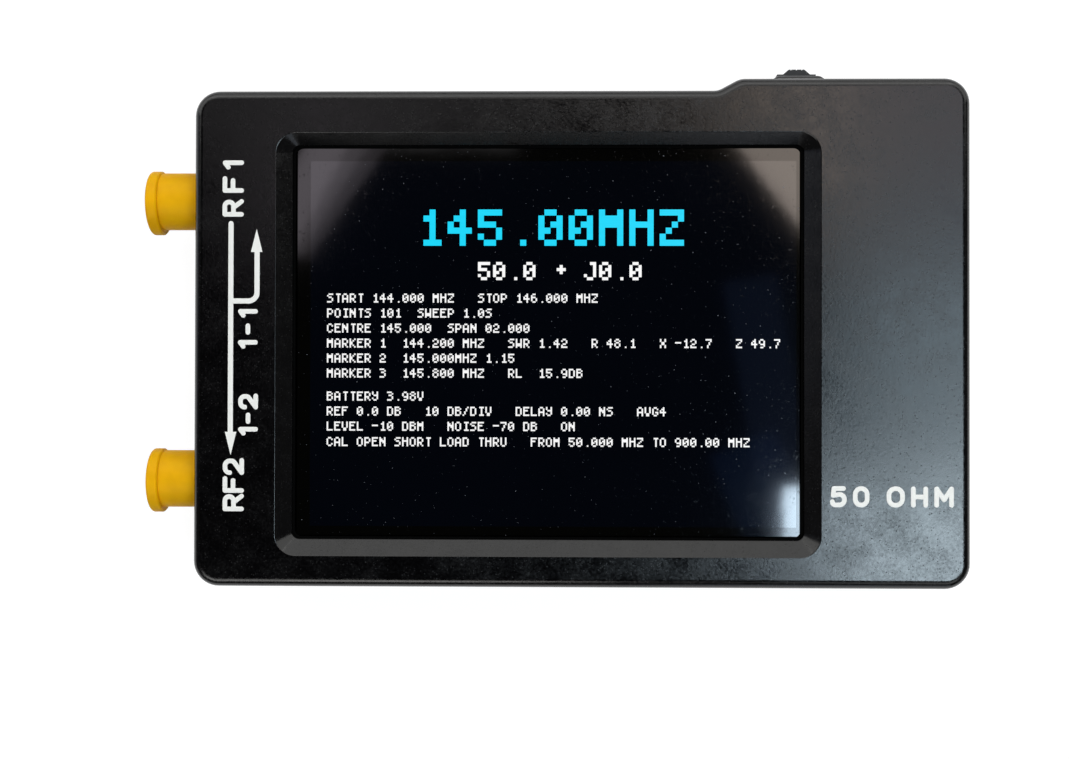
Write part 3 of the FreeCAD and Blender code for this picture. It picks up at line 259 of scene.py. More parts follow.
class Value:
    """One output of a node. Arithmetic on it adds Math nodes."""

    def __init__(self, graph, socket):
        self.graph = graph
        self.socket = socket

    def math(self, operation, *terms):
        return self.graph.add("ShaderNodeMath", {"operation": operation}, dict(enumerate(terms)))

    def __add__(self, other):
        return self.math("ADD", self, other)

    __radd__ = __add__

    def __sub__(self, other):
        return self.math("SUBTRACT", self, other)

    def __rsub__(self, other):
        return self.math("SUBTRACT", other, self)

    def __mul__(self, other):
        return self.math("MULTIPLY", self, other)

    __rmul__ = __mul__

    def __truediv__(self, other):
        return self.math("DIVIDE", self, other)

    def larger(self, other):
        return self.math("MAXIMUM", self, other)

    def size(self):
        return self.math("ABSOLUTE", self)

    def fold(self, width):
        """Back and forth between 0 and a width."""
        return self.math("PINGPONG", self, width)

    def parts(self):
        """The three numbers of a vector."""
        node = self.graph.add("ShaderNodeSeparateXYZ", {}, {"Vector": self}).socket.node
        return [Value(self.graph, socket) for socket in node.outputs]


def paint(tint):
    """A colour as a socket takes it."""
    return tint if isinstance(tint, Value) else tuple(tint)[:3] + (1.0,)


# ------------------------------ finishes

def finish(name, build, *arguments):
    """The material of that name, which isn't a name that the packed solids use. build gives the
    sockets of its surface shader."""
    made = bpy.data.materials.get(name)
    if made is None:
        made = bpy.data.materials.new(name)
        made.use_nodes = True
        made.node_tree.nodes.clear()
        graph = Graph(made.node_tree)
        place = graph.add("ShaderNodeTexCoord", {}, {}, "Object")
        surface = graph.add("ShaderNodeBsdfPrincipled", {}, build(graph, place, *arguments))
        graph.add("ShaderNodeOutputMaterial", {}, {"Surface": surface})
    return made


def moulded_case(graph, place, settings):
    """Black plastic with a spark-eroded texture: a fine grain, dull pits and a cloudy gloss."""
    grain = graph.noise(place, settings.grain, detail=3.0, roughness=0.65)
    cloud = graph.noise(place, 3 * MM, detail=4.0, roughness=0.6)
    pits = graph.specks(place, settings.grain * 0.8, share=0.4)
    return {
        "Base Color": graph.mix(cloud, settings.plastic, Vector(settings.plastic) * 1.3),
        "Roughness": (settings.roughness + (cloud - 0.5) * 0.28 + (grain - 0.5) * 0.34
                      + pits * 0.13),
        "Normal": graph.bump(grain, settings.grain_depth),
    }


def cover_film(graph, place, settings):
    """Glossy film over a dark cell, with a little dust and fine smears. The strip round the
    picture is duller. Outside it, on the left, right and lower sides, lies a black that reflects
    nothing: partly the cell's black border, partly painted shade of the gap under the window's
    wall."""
    x, y, _ = place.parts()
    middle_x, middle_y = (settings.left + settings.right) / 2, (settings.low + settings.high) / 2
    half_x, half_y = (settings.right - settings.left) / 2, (settings.high - settings.low) / 2
    outside = ((x - middle_x).size() - half_x).larger((y - middle_y).size() - half_y)
    rim_left, rim_right, rim_low = settings.border_and_gap_shade
    beyond = (rim_left - x).larger(x - rim_right).larger(rim_low - y)
    blur = 0.05 * MM
    strip = graph.step(outside, -blur, blur)
    # Mask of the black border: partly the cell's border, partly painted shade of the gap under the
    # window's wall.
    border_and_gap_shade = graph.step(beyond, -blur, blur)
    dust = graph.step(graph.noise(place, 0.25 * MM, detail=1.0), 0.75, 0.82)
    haze = graph.noise(place, 14 * MM, detail=3.0, roughness=0.6)
    smear = graph.step(graph.noise(place, 0.5 * MM, detail=3.0, roughness=0.7), 0.60, 0.74)
    dark = graph.mix(haze, (0.0001, 0.0006, 0.0020), (0.0004, 0.0010, 0.0028))
    film = graph.mix(dust * 0.5, graph.mix(strip, dark, settings.strip), (0.16, 0.17, 0.20))
    return {
        # Black with Metallic 1 beyond the border, so that the glass reflects nothing there:
        # painted shade over the cell's real black border.
        "Base Color": graph.mix(border_and_gap_shade, film, (0.0, 0.0, 0.0)),
        "Metallic": border_and_gap_shade,
        "Roughness": 0.042 + haze * 0.025 + smear * 0.09 + dust * 0.4,
        "IOR": 1.6,
        "Coat Weight": (1 - strip) * settings.sheen,
        "Coat Roughness": 0.05,
        "Normal": graph.bump(graph.noise(place, 5 * MM), 0.004 * MM),
    }


def lit_dots(graph, place, tint, glow):
    """Light from the cell. Lines of the picture differ a little in brightness."""
    flicker = graph.noise(graph.stretch(place, (0.2, 1.0, 1.0)), 0.5 * MM, detail=1.0)
    return {
        "Base Color": (0.0, 0.0, 0.0, 1.0),
        "Emission Color": graph.mix(flicker, Vector(tint) * 0.88, tint),
        "Emission Strength": glow,
        "Roughness": 0.3,
    }


def print_ink(graph, place, settings):
    """Pad-printed ink, a little uneven where it went on thin."""
    thin = graph.step(graph.noise(place, 0.45 * MM, detail=3.0, roughness=0.6), 0.58, 0.76)
    return {
        "Base Color": graph.mix(thin * 0.25, settings.ink, Vector(settings.ink) * 0.62),
        "Roughness": 0.55 + thin * 0.2,
        "Normal": graph.bump(graph.noise(place, 0.2 * MM), 0.008 * MM),
    }


def soft_vinyl(graph, place, settings):
    """Dip-moulded vinyl: slightly wavy, with a satin skin, and painted shade, a deeper colour, in
    the hollows of its waves.
    """
    wave = graph.noise(place, 2.2 * MM)
    pores = graph.noise(place, 0.18 * MM)
    return {
        # Painted shade: the colour is darker where the waves dip, which are the bump's hollows.
        "Base Color": graph.mix(graph.step(wave, 0.25, 0.75), settings.shade, settings.vinyl),
        "Roughness": 0.50 + (wave - 0.5) * 0.15,
        "Specular IOR Level": 0.10,
        "Normal": graph.bump(wave * 4.0 + pores, 0.008 * MM),
        "Subsurface Weight": 0.08,
        "Subsurface Scale": 0.6 * MM,
    }


def plain_plastic(graph, place, tint, rough, grain=0.12 * MM):
    """Moulded plastic with a fine grain."""
    cloud = graph.noise(place, grain * 12)
    return {
        "Base Color": graph.mix(cloud, Vector(tint) * 0.85, tint),
        "Roughness": rough + (cloud - 0.5) * 0.15,
        "Normal": graph.bump(graph.noise(place, grain), grain * 0.04),
    }


def dull_foam(graph, place, tint):
    """Open foam, which swallows nearly all light."""
    cells = graph.noise(place, 0.3 * MM, detail=3.0, roughness=0.7)
    return {
        "Base Color": graph.mix(cells, Vector(tint) * 0.4, tint),
        "Roughness": 0.95,
        "Specular IOR Level": 0.0,
        "Normal": graph.bump(cells, 0.02 * MM),
    }


def plated_metal(graph, place, tint, rough, along=(1.0, 1.0, 1.0)):
    """Drawn or turned metal under its plating, with tool marks across the given axes."""
    marks = graph.noise(graph.stretch(place, along), 0.05 * MM)
    tarnish = graph.noise(place, 1.6 * MM, detail=3.0, roughness=0.6)
    return {
        "Base Color": graph.mix(graph.step(tarnish, 0.45, 0.8), tint, Vector(tint) * 0.72),
        "Metallic": 1.0,
        "Roughness": rough + (tarnish - 0.5) * 0.2 + (marks - 0.5) * 0.1,
        "Normal": graph.bump(marks, 0.002 * MM),
    }


def solder_mask(graph, place):
    """Black varnish over copper: the tracks under it stand up a little and look lighter."""
    x, y, _ = place.parts()
    bend = graph.noise(place, 9 * MM, detail=0.0) * 5.0
    spacing = 0.45
    lines = (y / MM + bend).fold(spacing)
    rows = (x / MM - bend).fold(spacing)
    tracks = graph.step(lines, 0.28, 0.32) * graph.step(rows, 0.05, 0.09)
    return {
        "Base Color": graph.mix(tracks, (0.006, 0.007, 0.010), (0.014, 0.018, 0.022)),
        "Roughness": 0.28 + tracks * 0.06,
        "Normal": graph.bump(tracks, 0.02 * MM),
    }


def crinkled_foil(graph, place):
    """Aluminium laminate of a pouch cell with faint creases."""
    drawn = graph.stretch(place, (1.0, 0.35, 1.0))
    crease = graph.noise(drawn, 3 * MM, detail=4.0, roughness=0.65)
    return {
        "Base Color": graph.mix(crease, (0.55, 0.56, 0.58), (0.74, 0.75, 0.76)),
        "Metallic": 0.9,
        "Roughness": 0.32 + crease * 0.2,
        "Normal": graph.bump(crease, 0.15 * MM),
    }


def steel(name="tinned_steel", tint=(0.62, 0.62, 0.63), rough=0.34, along=(1.0, 1.0, 0.1)):
    return finish(name, plated_metal, tint, rough, along)


def black_moulding():
    return finish("black_moulding", plain_plastic, (0.014, 0.014, 0.015), 0.5)


def white_moulding():
    return finish("white_moulding", plain_plastic, (0.82, 0.82, 0.79), 0.45)


def black_foam():
    return finish("dull_foam", dull_foam, (0.004, 0.004, 0.004))


def gold(settings):
    return finish("gold_plating", plated_metal, settings.plating, 0.24, (0.2, 1.0, 1.0))


# ------------------------------ making pieces

def dress(node, material):
    """Give a packed node a finish."""
    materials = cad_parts[node].data.materials
    materials.clear()
    materials.append(material)


def piece(name, mesh, body, material=None):
    """A new piece that rides on a body, with its place in its mesh."""
    made = bpy.data.objects.new(name, mesh)
    bpy.context.scene.collection.objects.link(made)
    if material:
        mesh.materials.clear()
        mesh.materials.append(material)
    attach(made, body)
    return made


def to_mesh(name, build):
    """A mesh from a function that fills a bmesh."""
    mesh = bpy.data.meshes.new(name)
    made = bmesh.new()
    build(made)
    made.to_mesh(mesh)
    made.free()
    return mesh


def node_tree(name, inputs):
    """A Geometry Nodes tree with named inputs. Gives the graph and its inputs as values."""
    tree = bpy.data.node_groups.new(name, "GeometryNodeTree")
    tree.interface.new_socket("Geometry", in_out="INPUT", socket_type="NodeSocketGeometry")
    for title, (kind, default) in inputs.items():
        socket = tree.interface.new_socket(title, in_out="INPUT", socket_type="NodeSocket" + kind)
        if default is not None:
            socket.default_value = default
    tree.interface.new_socket("Geometry", in_out="OUTPUT", socket_type="NodeSocketGeometry")
    graph = Graph(tree)
    start = tree.nodes.new("NodeGroupInput")
    return graph, {socket.name: Value(graph, socket) for socket in start.outputs if socket.name}


def close_tree(graph, geometry, material, smooth):
    """Every tree ends in real geometry with its material."""
    solid = graph.add("GeometryNodeRealizeInstances", {}, {"Geometry": geometry})
    shaded = graph.add("GeometryNodeSetShadeSmooth", {},
                       {"Geometry": solid, "Shade Smooth": smooth})
    painted = graph.add("GeometryNodeSetMaterial", {}, {"Geometry": shaded, "Material": material})
    graph.add("NodeGroupOutput", {}, {"Geometry": painted})
    return graph.tree


def on_points(graph, given, instance, **more):
    """The same piece on each point of the tree's mesh."""
    points = graph.add("GeometryNodeMeshToPoints", {}, {"Mesh": given["Geometry"]})
    return graph.add("GeometryNodeInstanceOnPoints", {},
                     {"Points": points, "Instance": instance} | more)


def grow(name, source, tree, inputs, body):
    """Run a tree on a mesh and keep the result as a plain piece."""
    carrier = bpy.data.objects.new(name, source)
    bpy.context.scene.collection.objects.link(carrier)
    modifier = carrier.modifiers.new(tree.name, "NODES")
    modifier.node_group = tree
    for item in tree.interface.items_tree:
        if item.in_out == "INPUT" and item.name in inputs:
            modifier[item.identifier] = inputs[item.name]
    ready = carrier.evaluated_get(bpy.context.evaluated_depsgraph_get())
    mesh = bpy.data.meshes.new_from_object(ready)
    if not mesh.polygons:
        raise RuntimeError(name + ": the tree made no face")
    carrier.modifiers.remove(modifier)
    bpy.data.objects.remove(carrier)
    mesh.name = name
    return piece(name, mesh, body)


# ------------------------------ case

class ANALYZER_OT_case(bpy.types.Operator):
    """Give both covers their moulded texture"""
    bl_idname = "analyzer.case"
    bl_label = "Case"

    def execute(self, context):
        plastic = finish("moulded_case", moulded_case, context.scene.analyzer_case)
        for node in ("front_cover", "back_cover"):
            dress(node, plastic)
        return {"FINISHED"}


# ------------------------------ display

# Four by six dots for each sign, one hexadecimal digit for each row from the top.
SIGNS = {
    "0": "69bd96", "1": "262227", "2": "69168f", "3": "e1611e", "4": "26af22", "5": "f8e196",
    "6": "68e996", "7": "f12244", "8": "696996", "9": "699716", "A": "699f99", "B": "e9e99e",
    "C": "698896", "D": "e9999e", "E": "f8e88f", "F": "f8e888", "G": "698b96", "H": "99f999",
    "I": "722227", "J": "311196", "K": "9acca9", "L": "88888f", "M": "9ff999", "N": "9dfb99",
    "O": "699996", "P": "e99e88", "R": "e99ea9", "S": "78611e", "T": "722222",
    "U": "999996", "V": "999966", "W": "999ff9", "X": "996699", "Y": "997196", "Z": "f1248f",
    "-": "00f000", "+": "027200", ".": "000002", "/": "122448",
}
SIGN_COLUMNS = 4
SIGN_PITCH = 5

# Each line of the picture: its text, its left side and top in millimetres, and how many of the
# picture's dots one dot of its signs is wide.
TITLE = (("145.00MHZ", -19.46, 15.47, 4),)
LINES = (
    ("50.0 + J0.0", -12.21, 9.20, 2),
    ("START 144.000 MHZ   STOP 146.000 MHZ", -30.25, 5.42, 1),
    ("POINTS 101  SWEEP 1.0S", -30.25, 3.63, 1),
    ("CENTRE 145.000  SPAN 02.000", -30.25, 1.83, 1),
    ("MARKER 1  144.200 MHZ   SWR 1.42   R 48.1   X -12.7   Z 49.7", -30.25, 0.04, 1),
    ("MARKER 2  145.000MHZ 1.15", -30.25, -1.75, 1),
    ("MARKER 3  145.800 MHZ   RL  15.9DB", -30.25, -3.54, 1),
    ("BATTERY 3.98V", -30.25, -6.29, 1),
    ("REF 0.0 DB   10 DB/DIV   DELAY 0.00 NS   AVG4", -30.25, -8.08, 1),
    ("LEVEL -10 DBM   NOISE -70 DB   ON", -30.25, -9.88, 1),
    ("CAL OPEN SHORT LOAD THRU   FROM 50.000 MHZ TO 900.00 MHZ", -30.25, -11.73, 1),
)


def lit_points(made, lines, settings):
    """A vertex in the middle of each lit dot. Its size is kept as the vertex's attribute."""
    size = made.verts.layers.float.new("size")
    level = GLASS + settings.lift
    for text, left, top, dots in lines:
        cell = settings.cell * dots
        for place, sign in enumerate(text):
            for row, bits in enumerate(SIGNS.get(sign, "")):
                y = top * MM - (row + 0.5) * cell
                for column in range(SIGN_COLUMNS):
                    if int(bits, 16) & (1 << SIGN_COLUMNS - 1 - column):
                        x = left * MM + (place * SIGN_PITCH + column + 0.5) * cell
                        dot = made.verts.new((x, y, level))
                        dot[size] = cell


def dot_tree():
    """A square on each point, as wide as the point's size, joined to its neighbours."""
    graph, given = node_tree("lit dots", {"Material": ("Material", None), "Fill": ("Float", 1.0)})
    square = graph.add("GeometryNodeMeshGrid", {},
                       {"Size X": 1.0, "Size Y": 1.0, "Vertices X": 2, "Vertices Y": 2})
    size = graph.add("GeometryNodeInputNamedAttribute", {"data_type": "FLOAT"}, {"Name": "size"},
                     "Attribute")
    dots = on_points(graph, given, square, Scale=size * given["Fill"])
    return close_tree(graph, dots, given["Material"], False)


class ANALYZER_OT_display(bpy.types.Operator):
    """Finish the touch panel and lay the lit picture just over it"""
    bl_idname = "analyzer.display"
    bl_label = "Display"

    def execute(self, context):
        settings = context.scene.analyzer_display
        dress("touch_panel", finish("cover_film", cover_film, settings))
        dress("display_cell", finish("display_cell", plain_plastic, (0.01, 0.01, 0.014), 0.12))
        dress("display_frame", white_moulding())
        for node in ("display_tape", "display_gasket"):
            dress(node, black_foam())
        dress("display_ribbon", finish("printed_ribbon", plain_plastic, (0.62, 0.30, 0.05), 0.3))
        tree = dot_tree()
        for name, lines, tint in (("lit_title", TITLE, settings.title),
                                  ("lit_text", LINES, settings.text)):
            source = to_mesh(name, lambda made: lit_points(made, lines, settings))
            glow = finish(name, lit_dots, tint, settings.glow)
            grow(name, source, tree, {"Material": glow}, "housing")
        return {"FINISHED"}


# ------------------------------ printed marks

# Each sign as strokes on a grid six units tall. A third number rounds that corner.
STROKES = {
    "-": (((0, 3), (2.6, 3)),),
    "0": (((0, 0, 2.1), (4.3, 0, 2.1), (4.3, 6, 2.1), (0, 6, 2.1), (0, 0)),),
    "1": (((0.1, 4.8), (1.7, 6), (1.7, 0)),),
    "2": (((0.1, 4.3), (0.1, 6, 1.7), (4.3, 6, 1.7), (4.3, 3.1, 1.4), (0.1, 0), (4.5, 0)),),
    "5": (((4.1, 6), (0.6, 6), (0.3, 3.5), (4.4, 4.1, 1.7), (4.4, 0, 1.8), (0, 0, 1.5),
           (0, 1.2)),),
    "F": (((0, 0), (0, 6), (4.3, 6)), ((0, 3.1), (3.6, 3.1))),
    "H": (((0, 0), (0, 6)), ((4.5, 0), (4.5, 6)), ((0, 3), (4.5, 3))),
    "M": (((0, 0), (0, 6), (2.7, 2), (5.4, 6), (5.4, 0)),),
    "O": (((0, 0, 2.3), (4.9, 0, 2.3), (4.9, 6, 2.3), (0, 6, 2.3), (0, 0)),),
    "R": (((0, 0), (0, 6), (4.4, 6, 1.5), (4.4, 2.9, 1.5), (0, 2.9)), ((2.4, 2.9), (4.6, 0))),
}
SIGN_GRID = 6

# Each mark: its text, the middle, height and length of its pen lines in millimetres, and its turn.
MARKS = (
    ("RF1", (-41.03, 17.65), 1.98, 6.10, 90),
    ("RF2", (-40.88, -17.30), 1.98, 5.72, 90),
    ("1-1", (-39.23, 1.05), 1.80, 4.16, 90),
    ("1-2", (-39.17, -9.06), 1.80, 4.44, 90),
    ("50 OHM", (36.42, -18.48), 1.92, 13.88, 0),
)
FACE_LINE = ((-41.27, 13.5), (-41.27, -11.4))
BRANCH_LINE = ((-41.2, 4.36), (-38.17, 4.36, 1.0), (-38.17, 10.4))
ARROW_HEADS = (((-41.22, -13.81), -1), ((-38.22, 12.89), 1))
HEAD_LENGTH = 2.74
HEAD_WIDTH = 1.36
CORNER_STEPS = 8
PEN_SIDES = 16


def stroke(made, points, rounding):
    """A line of edges. A rounded corner keeps its radius, and a sharp one ends a line and starts
    another. A stroke that ends at its start is closed."""
    closed = tuple(points[0][:2]) == tuple(points[-1][:2])
    verts = []
    before = None
    for number, (x, y, *corner) in enumerate(points[:-1] if closed else points):
        vert = made.verts.new((x, y, 0))
        vert[rounding] = corner[0] if corner else 0.0
        verts.append(vert)
        if before:
            made.edges.new((before, vert))
        if number and not corner:
            vert = made.verts.new((x, y, 0))
            verts.append(vert)
        before = vert
    if closed:
        made.edges.new((before, verts[0]))
    elif not verts[-1].link_edges:
        made.verts.remove(verts.pop())
    return verts


def letters(made, text, middle, height, length, turn):
    """The strokes of a word, centred on a point of the face and spaced out to its length."""
    rounding = made.verts.layers.float.get("rounding") or made.verts.layers.float.new("rounding")
    unit = height * MM / SIGN_GRID
    widths = [max((spot[0] for line in STROKES.get(sign, ()) for spot in line), default=0)
              for sign in text]
    gap = (length * MM / unit - sum(widths)) / (len(text) - 1)
    across, verts = 0.0, []
    for sign, width in zip(text, widths):
        for line in STROKES.get(sign, ()):
            moved = [(x + across, *others) for x, *others in line]
            verts += stroke(made, moved, rounding)
        across += width + gap
    move = (Matrix.Translation((middle[0] * MM, middle[1] * MM, 0))
            @ Matrix.Rotation(math.radians(turn), 4, "Z") @ Matrix.Scale(unit, 4)
            @ Matrix.Translation(((gap - across) / 2, -SIGN_GRID / 2, 0)))
    for vert in verts:
        vert.co = move @ vert.co
        vert[rounding] *= unit


def arrow_lines(made):
    rounding = made.verts.layers.float.new("rounding")
    for line in (FACE_LINE, BRANCH_LINE):
        for vert in stroke(made, line, rounding):
            vert.co *= MM
            vert[rounding] *= MM


def pen_tree():
    """A flat stroke with round ends along each line."""
    graph, given = node_tree("pen", {"Pen": ("Float", 0.5 * MM), "Thickness": ("Float", 0.03 * MM),
                                     "Level": ("Float", 0.0), "Material": ("Material", None)})
    half = given["Pen"] * 0.5
    rounding = graph.add("GeometryNodeInputNamedAttribute", {"data_type": "FLOAT"},
                         {"Name": "rounding"}, "Attribute")
    lines = graph.add("GeometryNodeMeshToCurve", {}, {"Mesh": given["Geometry"]})
    bent = graph.add("GeometryNodeFilletCurve", {"mode": "POLY"},
                     {"Curve": lines, "Count": CORNER_STEPS, "Radius": rounding,
                      "Limit Radius": True})
    nib = graph.add("GeometryNodeCurvePrimitiveCircle", {},
                    {"Resolution": PEN_SIDES, "Radius": half})
    tube = graph.add("GeometryNodeCurveToMesh", {}, {"Curve": bent, "Profile Curve": nib})
    links = graph.add("GeometryNodeInputMeshVertexNeighbors", {}, {}, "Vertex Count")
    ends = graph.add("FunctionNodeCompare", {"data_type": "INT", "operation": "EQUAL"},
                     {"A": links, "B": 1})
    ball = graph.add("GeometryNodeMeshUVSphere", {},
                     {"Segments": PEN_SIDES, "Rings": PEN_SIDES // 2, "Radius": half})
    tips = graph.add("GeometryNodeMeshToPoints", {},
                     {"Mesh": given["Geometry"], "Selection": ends})
    apart = graph.add("GeometryNodeMergeByDistance", {}, {"Geometry": tips, "Distance": MERGE})
    balls = graph.add("GeometryNodeInstanceOnPoints", {}, {"Points": apart, "Instance": ball})
    both = graph.add("GeometryNodeJoinGeometry", {}, {"Geometry": [tube, balls]})
    real = graph.add("GeometryNodeRealizeInstances", {}, {"Geometry": both})
    squash = graph.add("ShaderNodeCombineXYZ", {},
                       {"X": 1.0, "Y": 1.0, "Z": given["Thickness"] / half})
    lift = graph.add("ShaderNodeCombineXYZ", {}, {"Z": given["Level"]})
    flat = graph.add("GeometryNodeTransform", {},
                     {"Geometry": real, "Scale": squash, "Translation": lift})
    return close_tree(graph, flat, given["Material"], True)


def arrow_heads(made, thickness):
    """Two slim triangles of ink."""
    for (x, y), way in ARROW_HEADS:
        corners = [(x, y), (x - HEAD_WIDTH / 2 * way, y - HEAD_LENGTH * way),
                   (x + HEAD_WIDTH / 2 * way, y - HEAD_LENGTH * way)]
        lower, upper = ([made.verts.new((across * MM, up * MM, level)) for across, up in corners]
                        for level in (FACE - thickness, FACE + thickness))
        made.faces.new(upper)
        made.faces.new(lower[::-1])
        for n in range(3):
            made.faces.new((lower[n], lower[(n + 1) % 3], upper[(n + 1) % 3], upper[n]))
    bmesh.ops.recalc_face_normals(made, faces=made.faces)


class ANALYZER_OT_marks(bpy.types.Operator):
    """Print the port labels, the arrows and the impedance on the front face"""
    bl_idname = "analyzer.marks"
    bl_label = "Printed marks"

    def execute(self, context):
        settings = context.scene.analyzer_marks
        ink = finish("print_ink", print_ink, settings)
        tree = pen_tree()
        common = {"Thickness": settings.thickness, "Level": FACE, "Material": ink}

        def words(made):
            for mark in MARKS:
                letters(made, *mark)

        grow("printed_labels", to_mesh("printed_labels", words), tree,
             common | {"Pen": settings.letter_pen}, "housing")
        grow("printed_lines", to_mesh("printed_lines", arrow_lines), tree,
             common | {"Pen": settings.line_pen}, "housing")
        heads = to_mesh("printed_arrow_heads", lambda made: arrow_heads(made, settings.thickness))
        piece("printed_arrow_heads", heads, "housing", ink)
        return {"FINISHED"}


# ------------------------------ jacks and caps

JACKS = (1, 2)
BARREL_LENGTH = 6.65 * MM
BARREL_CREST = 3.175 * MM
BARREL_BAND = 0.12 * MM  # how far outside the crest a point still belongs to the barrel
THREAD_START = 0.45 * MM
THREAD_LENGTH = 5.6 * MM
THREAD_STEPS = 48
SHARP = math.radians(30)


def thread_tree(turn):
    """A ridge of three sides that winds round each point's shank, from one end to the other."""
    graph, given = node_tree("thread", {
        "Root": ("Float", 2.75 * MM), "Pitch": ("Float", 0.7 * MM), "Length": ("Float", 6.0 * MM),
        "Ridge": ("Float", 0.38 * MM), "Material": ("Material", None)})
    spiral = graph.add("GeometryNodeCurveSpiral", {},
                       {"Resolution": THREAD_STEPS, "Rotations": given["Length"] / given["Pitch"],
                        "Start Radius": given["Root"], "End Radius": given["Root"],
                        "Height": given["Length"]})
    upright = graph.add("GeometryNodeSetCurveNormal", {"mode": "Z_UP"}, {"Curve": spiral})
    ridge = graph.add("GeometryNodeCurvePrimitiveCircle", {},
                      {"Resolution": 3, "Radius": given["Ridge"]})
    wound = graph.add("GeometryNodeCurveToMesh", {},
                      {"Curve": upright, "Profile Curve": ridge, "Fill Caps": True})
    laid = on_points(graph, given, wound, Rotation=Euler(turn))
    return close_tree(graph, laid, given["Material"], False)


def seeds(name, places):
    """A mesh of loose points that a tree grows its pieces on."""
    return to_mesh(name, lambda made: [made.verts.new(place) for place in places])


def thin_barrel(node, axis, flange, settings):
    """A copy of a jack whose barrel is turned down to the bottom of its thread."""
    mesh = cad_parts[node].data.copy()
    made = bmesh.new()
    made.from_mesh(mesh)
    bmesh.ops.remove_doubles(made, verts=made.verts, dist=MERGE)
    end = flange + 0.01 * MM
    for vert in made.verts:
        out = Vector((0, vert.co.y - axis.y, vert.co.z - axis.z))
        if vert.co.x < end and settings.root < out.length < BARREL_CREST + BARREL_BAND:
            vert.co.yz = (axis + out.normalized() * settings.root).yz
    made.to_mesh(mesh)
    made.free()
    return mesh


class ANALYZER_OT_jacks(bpy.types.Operator):
    """Cut the threads on the coaxial jacks and finish what is inside them"""
    bl_idname = "analyzer.jacks"
    bl_label = "Coaxial jacks"

    def execute(self, context):
        settings = context.scene.analyzer_jacks
        plating = gold(settings)
        white = finish("white_insulator", plain_plastic, (0.88, 0.88, 0.85), 0.35)
        tree = thread_tree((0, math.radians(90), 0))
        for number in JACKS:
            node = "rf_jack_%d" % number
            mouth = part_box(node)[0].x
            insulator_low, insulator_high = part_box("rf_insulator_%d" % number)
            axis = (insulator_low + insulator_high) / 2
            barrel = thin_barrel(node, axis, mouth + BARREL_LENGTH, settings)
            body = piece(node + "_body", barrel, "housing", plating)
            body.data.set_sharp_from_angle(angle=SHARP)
            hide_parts(node)
            start = Vector((mouth + THREAD_START, axis.y, axis.z))
            grow(node + "_thread", seeds(node, [start]), tree,
                 {"Root": settings.root, "Pitch": settings.pitch, "Length": THREAD_LENGTH,
                  "Material": plating}, "housing")
            dress("rf_insulator_%d" % number, white)
            dress("rf_contact_%d" % number, plating)
        return {"FINISHED"}


class ANALYZER_OT_caps(bpy.types.Operator):
    """Finish the dust caps in soft vinyl"""
    bl_idname = "analyzer.caps"
    bl_label = "Dust caps"

    def execute(self, context):
        vinyl = finish("soft_vinyl", soft_vinyl, context.scene.analyzer_caps)
        for number in JACKS:
            dress("dust_cap_%d" % number, vinyl)
        return {"FINISHED"}


# ------------------------------ controls and inner parts

class ANALYZER_OT_controls(bpy.types.Operator):
    """Finish the jog switch and the power switch"""
    bl_idname = "analyzer.controls"
    bl_label = "Jog lever and power switch"

    def execute(self, context):
        lever = finish("lever_moulding", plain_plastic, (0.004, 0.004, 0.0045), 0.50, 0.2 * MM)
        for node in ("jog_lever", "power_knob"):
            dress(node, lever)
        for node in ("jog_housing", "jog_carriage"):
            dress(node, black_moulding())
        for node in ("jog_cover", "jog_dome", "jog_terminals", "power_frame", "power_terminals"):
            dress(node, steel())
        return {"FINISHED"}


class ANALYZER_OT_screws(bpy.types.Operator):
    """Finish the case screws and cut their threads"""
    bl_idname = "analyzer.screws"
    bl_label = "Case screws"

    def execute(self, context):
        settings = context.scene.analyzer_screws
        zinc = steel("black_zinc", (0.055, 0.055, 0.058), 0.38, (1.0, 1.0, 0.2))
        dress("case_screws", zinc)
        low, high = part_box("case_screws")
        places = [(x, y, low.z + settings.head_tall + settings.pitch)
                  for x in (low.x + settings.head, high.x - settings.head)
                  for y in (low.y + settings.head, high.y - settings.head)]
        grow("case_screw_threads", seeds("case_screw_threads", places), thread_tree((0, 0, 0)),
             {"Root": settings.shank, "Pitch": settings.pitch, "Ridge": settings.ridge,
              "Length": high.z - places[0][2] - settings.shank, "Material": zinc}, "housing")
        return {"FINISHED"}


def contact_tree():
    """A flat strip of metal on each point."""
    graph, given = node_tree("contacts", {"Size": ("Vector", (4 * MM, 0.25 * MM, 0.04 * MM)),
                                          "Material": ("Material", None)})
    strip = graph.add("GeometryNodeMeshCube", {}, {"Size": given["Size"]}, "Mesh")
    return close_tree(graph, on_points(graph, given, strip), given["Material"], False)


class ANALYZER_OT_usb(bpy.types.Operator):
    """Finish the charging socket and lay the contacts on its tongue"""
    bl_idname = "analyzer.usb"
    bl_label = "Charging socket"

    def execute(self, context):
        settings = context.scene.analyzer_usb
        dress("usb_shell", steel("drawn_steel", (0.60, 0.60, 0.61), 0.26, (0.1, 1.0, 1.0)))
        dress("usb_tongue", black_moulding())
        low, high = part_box("usb_tongue")
        middle = high.x - settings.setback - settings.contact_size[0] / 2
        places = [(middle, (number - (settings.contacts - 1) / 2) * settings.contact_pitch, level)
                  for level in (low.z, high.z) for number in range(settings.contacts)]
        plating = gold(context.scene.analyzer_jacks)
        grow("usb_contacts", seeds("usb_contacts", places), contact_tree(),
             {"Size": tuple(settings.contact_size), "Material": plating}, "housing")
        return {"FINISHED"}


